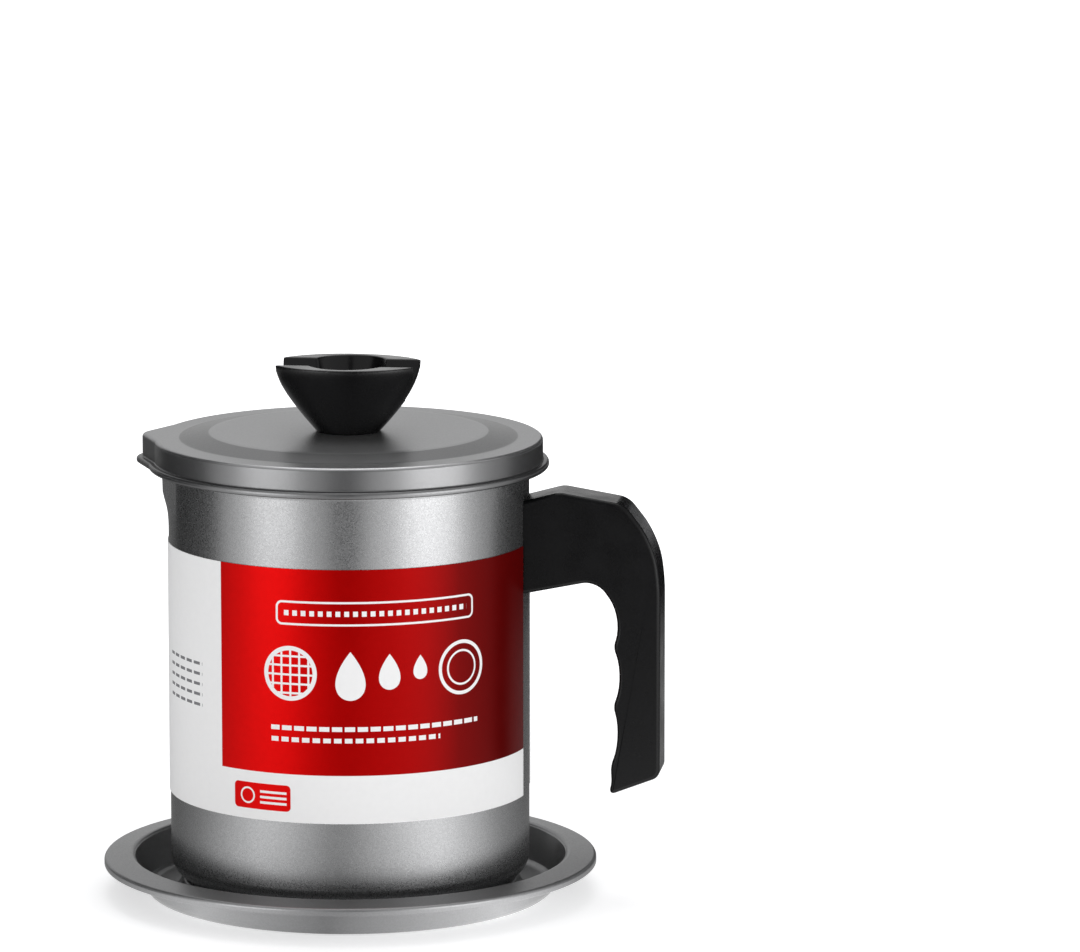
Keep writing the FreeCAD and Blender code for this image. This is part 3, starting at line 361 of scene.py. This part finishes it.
def label_print():
    """Glossy print: a red panel with white motifs, white below and beside it, and a small red tag."""
    material, tree, shader = new_material("label_print", Specular_IOR_Level=0.1,
                                          Specular_Tint=(0.4, 0.4, 0.4, 1))
    per_degree = math.radians(LABEL_RADIUS)
    place = add(tree, "ShaderNodeSeparateXYZ", {"Vector": add(tree, "ShaderNodeTexCoord").outputs["UV"]})
    across = calc(tree, "MULTIPLY_ADD", place.outputs["X"], LABEL_SWEEP * per_degree,
                  (LABEL_START - LABEL_FRONT) * per_degree)
    up = calc(tree, "MULTIPLY", place.outputs["Y"], LABEL_HEIGHT)

    def box(x, y, half_width, half_height, corner=0.0):
        node = use_group(tree, BOX_MASK, Centre_across=x, Centre_up=y, Half_width=half_width,
                         Half_height=half_height, Corner=corner)
        tree.links.new(across, node.inputs["Across"])
        tree.links.new(up, node.inputs["Up"])
        return node.outputs[0]

    def drop(x, foot, half_width, height):
        node = use_group(tree, DROP_MASK, Centre_across=x, Foot=foot, Half_width=half_width, Height=height)
        tree.links.new(across, node.inputs["Across"])
        tree.links.new(up, node.inputs["Up"])
        return node.outputs[0]

    def bars(source, pitch, share):
        node = use_group(tree, EVEN_BARS, Pitch=pitch, Filled_share=share)
        tree.links.new(source, node.inputs["Place"])
        return node.outputs[0]

    def less(first, second):
        return calc(tree, "MULTIPLY", first, calc(tree, "SUBTRACT", 1.0, second))

    def both(first, second):
        return calc(tree, "MULTIPLY", first, second)

    def either(*masks):
        total = masks[0]
        for mask in masks[1:]:
            total = calc(tree, "MAXIMUM", total, mask)
        return total

    def ring(x, y, radius, width):
        hole = radius - width
        return less(box(x, y, radius, radius, radius), box(x, y, hole, hole, hole))

    panel = box(17.4, 59.0, 64.2, 42.2)
    # White motifs on the panel: a sieve, three drops, a plate, and a framed row of dots
    sieve = either(ring(-19, 52, 9.5, 1.5), both(
        box(-19, 52, 8, 8, 8), either(bars(across, 3.2, 0.22), bars(up, 3.2, 0.22))))
    drops = either(drop(2, 43, 5.2, 17), drop(15.5, 46.5, 3.8, 12.5), drop(26.5, 49.5, 2.6, 8.5))
    plate = either(ring(43, 52, 9.5, 1.2), ring(43, 52, 6.2, 0.7))
    frame = less(box(12, 73, 36, 4.2, 2.2), box(12, 73, 35.3, 3.5, 1.6))
    dots = both(box(12, 73, 33, 0.9), bars(across, 3.0, 0.55))
    rows = either(both(box(12, 33, 38, 0.8), bars(across, 4.4, 0.8)),
                  both(box(4, 29, 30, 0.8), bars(across, 3.7, 0.7)))
    white = either(sieve, drops, plate, frame, dots, rows)
    tag = box(-30, 8.2, 11, 4.6, 1.6)
    tag_motif = either(ring(-35.5, 8.2, 2.9, 0.6), both(box(-25.5, 8.2, 5, 2.6), bars(up, 1.9, 0.45)))
    # Beside the panel, and round the back: rows of grey dashes, and a ruled table
    table = less(box(-248, 44, 32, 27, 1.5), box(-248, 44, 31.4, 26.4, 1))
    lines = either(both(box(-248, 44, 31.4, 26.4), bars(up, 8.8, 0.05)), box(-262, 44, 0.22, 26.6))
    row_places = bars(calc(tree, "ADD", up, 4.8), 8.8, 0.12)
    cells = both(both(box(-241, 44, 18, 26.4), row_places), bars(across, 6.0, 0.8))
    small_note = both(both(box(-70, 44, 13, 9), bars(up, 3.6, 0.3)), bars(across, 5.2, 0.75))
    large_note = both(both(box(-150, 42, 42, 26), bars(up, 4.4, 0.26)), bars(across, 7.0, 0.8))
    marks = [ring(x, 78, 4.6, 0.7) for x in (-182, -166, -150)]
    notes = either(small_note, large_note, *marks, table, lines, cells)
    stain = noise(tree, 475.0)
    paper = blend_colours(tree, stain, (0.86, 0.86, 0.86), (0.9, 0.9, 0.9))
    # The red darkens towards the handle.
    red = blend_colours(tree, stain, (0.43, 0.0, 0.0), (0.50, 0.0005, 0.0005))
    towards_handle = add(tree, "ShaderNodeMapRange", {"Value": across, "From Min": -20.0, "From Max": 42.0})
    red = blend_colours(tree, towards_handle.outputs[0], red, (0.12, 0.0, 0.0))
    colour = blend_colours(tree, notes, paper, (0.2, 0.2, 0.21))
    inked = either(less(panel, white), less(tag, tag_motif))
    tree.links.new(blend_colours(tree, inked, colour, red), shader.inputs["Base Color"])
    tree.links.new(calc(tree, "MULTIPLY", inked, 0.42), shader.inputs["Metallic"])
    grain = use_group(tree, SURFACE_GRAIN, Grain_size_mm=1.2, Patch_size_mm=9.0, Patch_strength=0.12)
    tree.links.new(calc(tree, "ADD", grain.outputs["Gloss change"], 0.32), shader.inputs["Roughness"])
    link_relief(tree, shader, grain.outputs["Height"], 0.06)
    return material


LABEL_PRINT = label_print()


# Shapes

def turned(profile, sectors=24, steps=30):
    """Spin a profile of (radius, height, bend) corners, in millimetres, round the axis.

    One sector is spun in fine steps, and the sector is then repeated round the full turn.
    """
    shape = bmesh.new()
    corners = [shape.verts.new((radius * MM, 0, height * MM)) for radius, height, bend in profile]
    for pair in zip(corners, corners[1:]):
        shape.edges.new(pair)
    for corner, (radius, height, bend) in zip(corners, profile):
        if bend:
            bmesh.ops.bevel(shape, geom=[corner], offset=bend * MM, offset_type="OFFSET", segments=8,
                            profile=0.5, affect="VERTICES", material=-1)
    bmesh.ops.spin(shape, geom=shape.verts[:] + shape.edges[:], cent=(0, 0, 0), axis=(0, 0, 1),
                   angle=math.tau / sectors, steps=steps)
    bmesh.ops.spin(shape, geom=shape.verts[:] + shape.edges[:] + shape.faces[:], cent=(0, 0, 0),
                   axis=(0, 0, 1), angle=math.tau, steps=sectors, use_merge=True, use_duplicate=True)
    bmesh.ops.remove_doubles(shape, verts=shape.verts[:], dist=0.000002)
    bmesh.ops.recalc_face_normals(shape, faces=shape.faces[:])
    return shape


def beak_reach(angle, radius, crease, tip, tip_radius):
    """Distance from the axis to a round outline with a beak, at an angle from the beak's middle."""
    angle = abs(angle)
    if angle >= crease:
        return radius
    centre = tip - tip_radius
    corner = Vector((radius * math.cos(crease), radius * math.sin(crease)))
    offset = corner - Vector((centre, 0))
    swing = math.atan2(offset.y, offset.x) - math.acos(min(1, tip_radius / offset.length))
    touch = Vector((centre + tip_radius * math.cos(swing), tip_radius * math.sin(swing)))
    if angle <= math.atan2(touch.y, touch.x):
        return centre * math.cos(angle) + math.sqrt(tip_radius ** 2 - (centre * math.sin(angle)) ** 2)
    side = corner - touch
    return (touch.x * side.y - touch.y * side.x) / (math.cos(angle) * side.y - math.sin(angle) * side.x)


def pull_beak(shape, radius, crease, reach, tip_radius, strength):
    """Pull a turned shape outwards along -X. Strength says how much, by radius and height in mm."""
    crease = math.radians(crease)
    for vert in shape.verts:
        here = math.hypot(vert.co.x, vert.co.y) / MM
        share = strength(here, vert.co.z / MM)
        if here < 1 or share <= 0:
            continue
        angle = math.atan2(vert.co.y, -vert.co.x)
        shift = here - radius
        target = beak_reach(angle, here, crease, here + reach, tip_radius + shift)
        grow = 1 + share * (target / here - 1)
        vert.co.x *= grow
        vert.co.y *= grow


def ramp(value, low, high):
    """0 below low, 1 above high, and straight between."""
    return min(1, max(0, (value - low) / (high - low)))


def carved(shape, cutters, voxel=None):
    """Cut shapes out of a shape, and with a voxel size give it an even, slightly softened surface."""
    holders = []
    for part in [shape] + cutters:
        mesh = bpy.data.meshes.new("carving")
        part.to_mesh(mesh)
        part.free()
        holders.append(bpy.data.objects.new("carving", mesh))
        scene.collection.objects.link(holders[-1])
    for cutter in holders[1:]:
        cut = holders[0].modifiers.new("cut", "BOOLEAN")
        cut.operation = "DIFFERENCE"
        cut.solver = "EXACT"
        cut.object = cutter
    if voxel:
        even = holders[0].modifiers.new("even", "REMESH")
        even.mode = "VOXEL"
        even.voxel_size = voxel
        soften = holders[0].modifiers.new("soften", "SMOOTH")
        soften.factor = 0.5
        soften.iterations = 8
    graph = bpy.context.evaluated_depsgraph_get()
    mesh = bpy.data.meshes.new_from_object(holders[0].evaluated_get(graph))
    result = bmesh.new()
    result.from_mesh(mesh)
    for holder in holders:
        bpy.data.objects.remove(holder)
    bpy.data.meshes.remove(mesh)
    return result


def finish_piece(name, shape, material, body, nodes, sharp=35, second=None, flat_area=None):
    """Make the object, smooth but for sharp edges and wide flat faces, on its body and over its CAD nodes."""
    for face in shape.faces:
        face.smooth = not flat_area or face.calc_area() < flat_area
    for edge in shape.edges:
        edge.smooth = edge.calc_face_angle(0) < math.radians(sharp)
    mesh = bpy.data.meshes.new(name)
    shape.to_mesh(mesh)
    shape.free()
    mesh.materials.append(material)
    if second:
        mesh.materials.append(second)
    piece = bpy.data.objects.new(name, mesh)
    scene.collection.objects.link(piece)
    weighted = piece.modifiers.new("even_shading", "WEIGHTED_NORMAL")
    weighted.keep_sharp = True
    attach(piece, body)
    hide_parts(*nodes)


def make_tray():
    """The drip tray: centre disc, seat, moat, leaning wall, flange and turned-down lip."""
    shape = turned([
        (0, 6.8, 0), (34.1, 6.8, 1.4), (39.0, 5.8, 1.2), (58.8, 5.8, 1.2), (60.6, 0.8, 1.0), (71.6, 0.8, 2.6),
        (76.1, 14.25, 1.2), (86.3, 12.85, 1.1), (86.3, 10.25, 0.3), (85.5, 10.25, 0.3), (85.5, 12.1, 0.4),
        (75.6, 13.45, 0.6), (71.2, 0, 2.9), (59.9, 0, 1.4), (58.2, 5.0, 1.0), (39.0, 5.0, 1.2),
        (34.0, 6.0, 1.4), (0, 6.0, 0)], steps=12)
    finish_piece("tray_skin", shape, TRAY_COAT, "tray", ["drip_tray"])


def make_pot():
    """The pot: recessed base, rounded corner, wall, flared mouth with a rolled rim, and a small beak."""
    base, beak_foot, beak_top, beak_rings = 5.8, 129.8, 142.8, 6
    step = (beak_top - beak_foot) / beak_rings
    outside = [(62.8, beak_foot - base + step * ring, 0) for ring in range(beak_rings)]
    inside = [(62.2, height, 0) for radius, height, bend in reversed(outside)]
    shape = turned([(radius, height + base, bend) for radius, height, bend in [
        (0, 1.6, 0), (46, 1.6, 2), (49, 0, 2), (62.8, 0, 8), *outside, (62.8, 145.4, 2.4), (66.3, 148.3, 1.4),
        (66.3, 151.5, 1.4), (63.6, 151.5, 0.8), (62.2, 145.6, 2.4), *inside, (62.2, 0.6, 7.4), (49, 0.6, 1.4),
        (46, 2.2, 1.4), (0, 2.2, 0)]])

    def fade(radius, height):
        share = ramp(height, beak_foot, beak_top) if radius > 60 else 0
        return share * share * (3 - 2 * share)

    pull_beak(shape, 62.8, 26.7, 3.0, 12.6, fade)
    # The inner coat covers the faces that look to the axis, up to the rim, and the floor.
    rim_middle, floor_level, bore = 64.4, 7.2, 62.4
    for face in shape.faces:
        middle = face.calc_center_median()
        distance = middle.xy.length / MM
        inner_wall = face.normal.xy.dot(middle.xy) < 0 and distance < rim_middle
        inner_floor = middle.z > floor_level * MM and distance < bore and face.normal.z > 0.1
        if inner_wall or inner_floor:
            face.material_index = 1
    finish_piece("pot_shell", shape, POT_COAT, "pot", ["pot_body"], second=POT_INSIDE)


def make_strainer():
    """The strainer's frame: rolled rim, wall with a beak, bottom corner, turned-in foot and mesh ledge."""
    shape = turned([
        (56.9, 140.5, 0), (56.9, 139.9, 0.2), (61.9, 139.9, 4.2), (61.9, 157.0, 0.6), (66.3, 157.3, 1.5),
        (66.3, 160.5, 1.6), (61.3, 160.5, 2.6), (61.3, 145.1, 0.3), (59.3, 145.1, 0.2), (59.3, 144.3, 0.2),
        (61.3, 144.3, 0.4), (61.3, 140.5, 3.6), (56.9, 140.5, 0)])
    pull_beak(shape, 61.9, 28, 2.5, 12, lambda radius, height: 1 + 0.4 * ramp(radius, 61.9, 66.3))
    finish_piece("strainer_ring", shape, STRAINER_STEEL, "strainer", ["strainer_frame"],
                 sharp=14)


def make_lid():
    """The lid: raised centre, flat ring, skirt with a beak, and a rolled bottom bead."""
    shape = turned([
        (0, 163.1, 0), (47.8, 163.1, 1.4), (59.0, 161.1, 1.2), (67.6, 161.1, 1.3), (67.6, 153.1, 0.5),
        (69.7, 153.1, 1.0), (69.7, 150.7, 1.0), (67.0, 150.7, 0.4), (67.0, 160.5, 0.8), (59.0, 160.5, 1.0),
        (47.8, 162.5, 1.2), (0, 162.5, 0)])
    pull_beak(shape, 67.6, 15.5, 5.0, 9, lambda radius, height: ramp(radius, 60, 66.5))
    finish_piece("lid_shell_skin", shape, LID_COAT, "lid", ["lid_shell"], sharp=14)


def make_mesh():
    """The woven mesh: two layers of wavy wires that cross, slightly domed, inside the strainer's wall."""
    pitch, limit, level, crown, wave = 2.1, 60.9, 145.9, 2.2, 0.4
    curve = bpy.data.curves.new("mesh_wires", "CURVE")
    curve.dimensions = "3D"
    curve.bevel_depth = 0.42 * MM
    curve.bevel_resolution = 0
    turn = math.radians(32)
    reach = int(limit / pitch)
    for layer in (0, 1):
        along = Vector((math.cos(turn + layer * math.pi / 2), math.sin(turn + layer * math.pi / 2), 0))
        beside = Vector((-along.y, along.x, 0))
        for row in range(-reach, reach + 1):
            offset = row * pitch
            half = math.sqrt(limit ** 2 - offset ** 2)
            count = int(half / pitch)
            wire = curve.splines.new("POLY")
            wire.points.add(2 * count)
            for index, step in enumerate(range(-count, count + 1)):
                spot = along * (step * pitch) + beside * offset
                weave = wave * (1 if (step + row + layer) % 2 else -1)
                rise = crown * (1 - (spot.length / limit) ** 2) + weave
                spot.z = level + rise
                wire.points[index].co = (*(spot * MM), 1)
    holder = bpy.data.objects.new("mesh_holder", curve)
    mesh = bpy.data.meshes.new_from_object(holder)
    bpy.data.objects.remove(holder)
    shape = bmesh.new()
    shape.from_mesh(mesh)
    bpy.data.meshes.remove(mesh)
    finish_piece("woven_mesh", shape, MESH_STEEL, "strainer", ["strainer_mesh"], sharp=100)


def make_label():
    """The printed wrap: a thin band round the wall, open at the handle."""
    shape = bmesh.new()
    corners = [shape.verts.new((radius * MM, 0, (LABEL_FOOT + height) * MM))
               for radius, height in ((62.85, 0), (LABEL_RADIUS, 0), (LABEL_RADIUS, LABEL_HEIGHT),
                                      (62.85, LABEL_HEIGHT))]
    section = shape.faces.new(corners)
    turn = Matrix.Rotation(math.radians(LABEL_START), 3, "Z")
    bmesh.ops.rotate(shape, verts=shape.verts[:], cent=(0, 0, 0), matrix=turn)
    bmesh.ops.spin(shape, geom=[section], cent=(0, 0, 0), axis=(0, 0, 1), angle=math.radians(LABEL_SWEEP),
                   steps=228)
    bmesh.ops.recalc_face_normals(shape, faces=shape.faces[:])
    layout = shape.loops.layers.uv.new("print")
    for face in shape.faces:
        for loop in face.loops:
            turned_by = math.degrees(math.atan2(loop.vert.co.y, loop.vert.co.x)) % 360
            across = (turned_by - LABEL_START) / LABEL_SWEEP
            up = (loop.vert.co.z / MM - LABEL_FOOT) / LABEL_HEIGHT
            loop[layout].uv = (min(1, max(0, across)), min(1, max(0, up)))
    finish_piece("printed_wrap", shape, LABEL_PRINT, "pot", ["label_wrap"])


def make_handle():
    """The grip: side outline raised to its width, its edges rounded, and its root fitted to the wall."""
    outline = [
        (62.3, 108.2, 0), (62.3, 140.8, 0), (74.6, 144.2, 1.5), (97.2, 140.4, 3), (107.4, 127.5, 8),
        (109.9, 113.5, 5.5), (109.9, 44.5, 2.5), (91.9, 37.6, 2.7), (93.0, 42.0, 1.5), (92.7, 48.1, 2),
        (96.6, 58.6, 8.5), (93.5, 69.1, 2), (97.4, 79.6, 8.5), (93.5, 90.1, 2), (97.0, 100.4, 8.5),
        (87.6, 113.4, 5)]
    half_width, root, wall_radius = 9, 62.4, 62.5
    shape = bmesh.new()
    corners = [shape.verts.new((x * MM, -half_width * MM, z * MM)) for x, z, bend in outline]
    for first, last in zip(corners, corners[1:] + corners[:1]):
        shape.edges.new((first, last))
    for corner, (x, z, bend) in zip(corners, outline):
        if bend:
            bmesh.ops.bevel(shape, geom=[corner], offset=bend * MM, offset_type="OFFSET", segments=7,
                            profile=0.5, affect="VERTICES", material=-1)
    side = bmesh.ops.contextual_create(shape, geom=shape.edges[:])["faces"]
    raised = bmesh.ops.extrude_face_region(shape, geom=side)["geom"]
    moved = [item for item in raised if isinstance(item, bmesh.types.BMVert)]
    bmesh.ops.translate(shape, verts=moved, vec=(0, 2 * half_width * MM, 0))
    rims = [edge for edge in shape.edges
            if abs(edge.verts[0].co.y - edge.verts[1].co.y) < 1e-6
            and max(vert.co.x for vert in edge.verts) > root * MM]
    bmesh.ops.bevel(shape, geom=rims, offset=1.25 * MM, offset_type="OFFSET", segments=4, profile=0.5,
                    affect="EDGES", material=-1)
    for vert in shape.verts:
        if vert.co.x < root * MM:
            vert.co.x = math.sqrt((wall_radius * MM) ** 2 - vert.co.y ** 2)
    bmesh.ops.recalc_face_normals(shape, faces=shape.faces[:])
    # The recess for the screw's head opens downwards in the root.
    screw_x, recess_radius, recess_top, cut_depth = 74.8, 4.05 * MM, 120.55, 20
    recess = bmesh.new()
    bmesh.ops.create_cone(recess, cap_ends=True, segments=48, radius1=recess_radius, radius2=recess_radius,
                          depth=cut_depth * MM)
    bmesh.ops.translate(recess, verts=recess.verts[:],
                        vec=(screw_x * MM, 0, (recess_top - cut_depth / 2) * MM))
    shape = carved(shape, [recess])
    side_area = 500 * MM * MM
    finish_piece("grip", shape, HANDLE_BLACK, "pot", ["pot_handle"], flat_area=side_area)


def make_knob():
    """The knob: an oval body that flares upwards, with a groove along it and a bowl in the middle."""
    foot, height, levels = 163.1, 23.95, 24
    foot_radius, half_length, half_width, bulge = 11.0, 27.0, 20.6, 1.37
    shape = bmesh.new()
    rings = []
    for level in range(levels + 1):
        left = 1 - level / levels
        along = half_length - (half_length - foot_radius) * left ** bulge
        beside = half_width - (half_width - foot_radius) * left ** bulge
        ring = bmesh.ops.create_circle(shape, segments=96, radius=1)["verts"]
        bmesh.ops.scale(shape, verts=ring, vec=(along * MM, beside * MM, 1))
        bmesh.ops.translate(shape, verts=ring, vec=(0, 0, (foot + height * (1 - left)) * MM))
        rings.append(ring)
    for index in range(len(rings) - 1):
        pair = set(rings[index] + rings[index + 1])
        loops = [edge for edge in shape.edges if edge.verts[0] in pair and edge.verts[1] in pair
                 and abs(edge.verts[0].co.z - edge.verts[1].co.z) < 1e-6]
        bmesh.ops.bridge_loops(shape, edges=loops)
    ends = [edge for edge in shape.edges if edge.is_boundary]
    bmesh.ops.holes_fill(shape, edges=ends)
    bmesh.ops.recalc_face_normals(shape, faces=shape.faces[:])

    reach, groove_foot, groove_top, groove_half, mouth_half = 40, 174.1, 188.1, 2.5, 9.5
    groove = bmesh.new()
    corners = [groove.verts.new((-reach * MM, y * MM, z * MM)) for y, z in
               ((-groove_half, groove_foot), (groove_half, groove_foot),
                (mouth_half, groove_top), (-mouth_half, groove_top))]
    section = groove.faces.new(corners)
    raised = bmesh.ops.extrude_face_region(groove, geom=[section])["geom"]
    bmesh.ops.translate(groove, verts=[item for item in raised if isinstance(item, bmesh.types.BMVert)],
                        vec=(2 * reach * MM, 0, 0))
    bmesh.ops.recalc_face_normals(groove, faces=groove.faces[:])
    bowl_foot, bowl_depth, bowl_radius, bowl_mouth, bowl_stretch = 176.1, 13, 10.2, 15.2, 1.2
    bowl = bmesh.new()
    bmesh.ops.create_cone(bowl, cap_ends=True, segments=64, radius1=bowl_radius * MM,
                          radius2=bowl_mouth * MM, depth=bowl_depth * MM)
    bmesh.ops.translate(bowl, verts=bowl.verts[:], vec=(0, 0, (bowl_foot + bowl_depth / 2) * MM))
    bmesh.ops.scale(bowl, verts=bowl.verts[:], vec=(1, bowl_stretch, 1))
    bmesh.ops.recalc_face_normals(bowl, faces=bowl.faces[:])
    knob = carved(shape, [groove, bowl], 0.35 * MM)
    finish_piece("knob_grip", knob, KNOB_BLACK, "lid", ["lid_knob"], sharp=180)


make_tray()
make_pot()
make_strainer()
make_mesh()
make_lid()
make_label()
make_handle()
make_knob()

# The CAD solids that show as they are, with their own finishes
PLAIN_NODES = {
    "handle_bracket": BRACKET_STEEL, "handle_nut": FASTENER_STEEL, "handle_screw": FASTENER_STEEL,
    "knob_insert": INSERT_BRASS, "knob_washer": FASTENER_STEEL, "knob_screw": FASTENER_STEEL}
for node, material in PLAIN_NODES.items():
    part = frame["nodes"][node]
    part.data.materials.clear()
    part.data.materials.append(material)


# Stage, lights and camera

def tone_ramp(tree, value, stops, low, high):
    """A grey that follows a value between low and high. Stops are (value, tone), in rising order."""
    share = add(tree, "ShaderNodeMapRange", {"Value": value, "From Min": low, "From Max": high}).outputs[0]
    node = add(tree, "ShaderNodeValToRGB", {"Fac": share})
    spots = node.color_ramp.elements
    while len(spots) < len(stops):
        spots.new(0.5)
    for spot, (level, tone) in zip(spots, stops):
        spot.position = (level - low) / (high - low)
        spot.color = (tone, tone, tone, 1)
    return node.outputs[0]


# Painted reflection on the floor: a glow that only reflections see, by the azimuth in degrees from -Y towards
# +X, copying the lamps and cards as a glossy table would mirror them. The tones are shares of the peak below.
PAINTED_REFLECTION_PEAK = 3.3
PAINTED_REFLECTION_STOPS = [
    (-180, 0.08), (-118, 0.11), (-85, 0.23), (-40, 0.72), (2, 0.25), (57, 1.0), (99, 0.3), (141, 0.12),
    (180, 0.08)]


def stage_material(name, colour, camera_white, near, far):
    """A plain surface that keeps the object's shadow, is whiter to the camera from near to far, and glows a
    painted reflection of the lamps and cards where reflections see it.
    """
    material, tree, shader = new_material(name, Roughness=0.9)
    output = tree.nodes["Material Output"]
    rays = add(tree, "ShaderNodeLightPath")
    mirrored = calc(tree, "MAXIMUM", rays.outputs["Is Glossy Ray"], rays.outputs["Is Transmission Ray"])
    paper = blend_colours(tree, noise(tree, 3.0), grey(colour - 0.01), grey(colour + 0.01))
    tree.links.new(blend_colours(tree, mirrored, paper, (0, 0, 0)), shader.inputs["Base Color"])
    x, y, z = object_place(tree)
    azimuth = calc(tree, "DEGREES", calc(tree, "ARCTAN2", x, calc(tree, "MULTIPLY", y, -1.0)))
    # Painted reflection: the glow that reflections see follows the lamps and cards round the floor.
    painted_reflection_tone = calc(tree, "MULTIPLY", tone_ramp(tree, azimuth, PAINTED_REFLECTION_STOPS, -180, 180), PAINTED_REFLECTION_PEAK)
    whiteness = add(tree, "ShaderNodeMapRange", {
        "Value": axis_distance(tree, x, y), "From Min": near, "From Max": far, "To Min": camera_white,
        "To Max": 1.0}).outputs[0]
    glow = add(tree, "ShaderNodeEmission", {"Color": (1, 1, 1, 1)})
    seen = calc(tree, "MULTIPLY", rays.outputs["Is Camera Ray"], whiteness)
    tree.links.new(calc(tree, "MULTIPLY_ADD", mirrored, painted_reflection_tone, seen), glow.inputs["Strength"])
    total = add(tree, "ShaderNodeAddShader")
    tree.links.new(shader.outputs[0], total.inputs[0])
    tree.links.new(glow.outputs[0], total.inputs[1])
    tree.links.new(total.outputs[0], output.inputs["Surface"])
    return material


def make_stage():
    """The floor, a hair below the tray's foot."""
    shape = bmesh.new()
    bmesh.ops.create_grid(shape, x_segments=1, y_segments=1, size=4.0)
    mesh = bpy.data.meshes.new("floor")
    shape.to_mesh(mesh)
    shape.free()
    mesh.materials.append(stage_material("floor_paper", 0.8, 0.5, 0.15, 0.7))
    floor = bpy.data.objects.new("floor", mesh)
    scene.collection.objects.link(floor)
    floor.location.z = -0.0002


def make_world():
    """A pale studio: white where the camera and reflections look, softer for the light itself."""
    world = bpy.data.worlds.new("studio")
    scene.world = world
    world.use_nodes = True
    tree = world.node_tree
    background = tree.nodes["Background"]
    rays = add(tree, "ShaderNodeLightPath")
    shown = calc(tree, "MAXIMUM", rays.outputs["Is Camera Ray"],
                 calc(tree, "MAXIMUM", rays.outputs["Is Glossy Ray"], rays.outputs["Is Transmission Ray"]))
    light_level = 0.48
    strength = calc(tree, "MULTIPLY_ADD", shown, 1.0 - light_level, light_level)
    tree.links.new(strength, background.inputs["Strength"])
    background.inputs["Color"].default_value = (1, 1, 1, 1)


def area_light(name, place, target, size, power):
    """A soft rectangular lamp."""
    lamp = bpy.data.lights.new(name, "AREA")
    lamp.shape = "RECTANGLE"
    lamp.size, lamp.size_y = size
    lamp.energy = power
    holder = bpy.data.objects.new(name, lamp)
    holder.location = place
    holder.rotation_euler = (Vector(target) - Vector(place)).to_track_quat("-Z", "Y").to_euler()
    scene.collection.objects.link(holder)
    holder.visible_camera = False


# The photograph's view, in degrees round from -Y towards +X
VIEW_AZIMUTH = 7

# The reflector cards stand this far from the axis and are this high, in metres. Across them runs a paler
# strip, at the heights that the lifted strainer reflects.
CARD_DISTANCE, CARD_HEIGHT = 0.5, 0.8
CARD_STRIP = [(0, 0), (0.108, 0), (0.125, 1), (0.162, 1), (0.178, 0)]


def card_cloth(name, tone, strip_tone):
    """Dull cloth, dark or grey, with the paler strip across it."""
    material, tree, shader = new_material(name, Roughness=1.0, Specular_IOR_Level=0.0)
    strip = tone_ramp(tree, object_place(tree)[2], CARD_STRIP, 0, CARD_HEIGHT)
    tree.links.new(blend_colours(tree, strip, grey(tone), grey(strip_tone)), shader.inputs["Base Color"])
    return material


def dark_card(name, azimuth, spread, tone, strip_tone):
    """An upright card that only reflections see. Azimuth counts in degrees from -Y towards +X."""
    shape = bmesh.new()
    bmesh.ops.create_grid(shape, x_segments=1, y_segments=1, size=0.5)
    width = 2 * CARD_DISTANCE * math.tan(math.radians(spread / 2))
    bmesh.ops.scale(shape, verts=shape.verts[:], vec=(width, CARD_HEIGHT, 1))
    bmesh.ops.rotate(shape, verts=shape.verts[:], cent=(0, 0, 0), matrix=Matrix.Rotation(math.pi / 2, 3, "X"))
    bmesh.ops.translate(shape, verts=shape.verts[:], vec=(0, -CARD_DISTANCE, CARD_HEIGHT / 2))
    bmesh.ops.rotate(shape, verts=shape.verts[:], cent=(0, 0, 0),
                     matrix=Matrix.Rotation(math.radians(azimuth), 3, "Z"))
    mesh = bpy.data.meshes.new(name)
    shape.to_mesh(mesh)
    shape.free()
    mesh.materials.append(card_cloth(name + "_cloth", tone, strip_tone))
    card = bpy.data.objects.new(name, mesh)
    scene.collection.objects.link(card)
    card.visible_camera = False
    card.visible_diffuse = False
    card.visible_shadow = False
    card.visible_transmission = False


def make_camera():
    """The photograph's view: long lens, slightly from above, a little round towards the handle."""
    turn, tilt, distance = math.radians(VIEW_AZIMUTH), math.radians(9.8), 2.4
    aim_height, aim_right = 0.147, 0.0665
    aim = Vector((0, 0, aim_height)) + Vector((math.cos(turn), math.sin(turn), 0)) * aim_right
    lens = bpy.data.cameras.new("camera")
    lens.lens = 230
    lens.sensor_width = 36
    camera = bpy.data.objects.new("camera", lens)
    scene.collection.objects.link(camera)
    away = Vector((math.sin(turn) * math.cos(tilt), -math.cos(turn) * math.cos(tilt), math.sin(tilt)))
    camera.location = aim + away * distance
    camera.rotation_euler = (-away).to_track_quat("-Z", "Y").to_euler()
    scene.camera = camera


make_stage()
make_world()
area_light("left_softbox", (-0.48, -0.61, 0.19), (0, 0, 0.12), (0.44, 0.34), 1.55)
area_light("right_softbox", (0.65, -0.38, 0.19), (0, 0, 0.12), (0.54, 0.34), 2.3)
area_light("top_softbox", (0, 0.3, 1.3), (0, 0, 0.1), (0.9, 0.7), 4.5)
dark_card("card_front", VIEW_AZIMUTH, 18, 0.25, 0.5)
dark_card("card_left", VIEW_AZIMUTH - 111, 54, 0.02, 0.8)
dark_card("card_right", VIEW_AZIMUTH + 135, 60, 0.02, 0.8)
make_camera()
scene.view_settings.view_transform = "Standard"
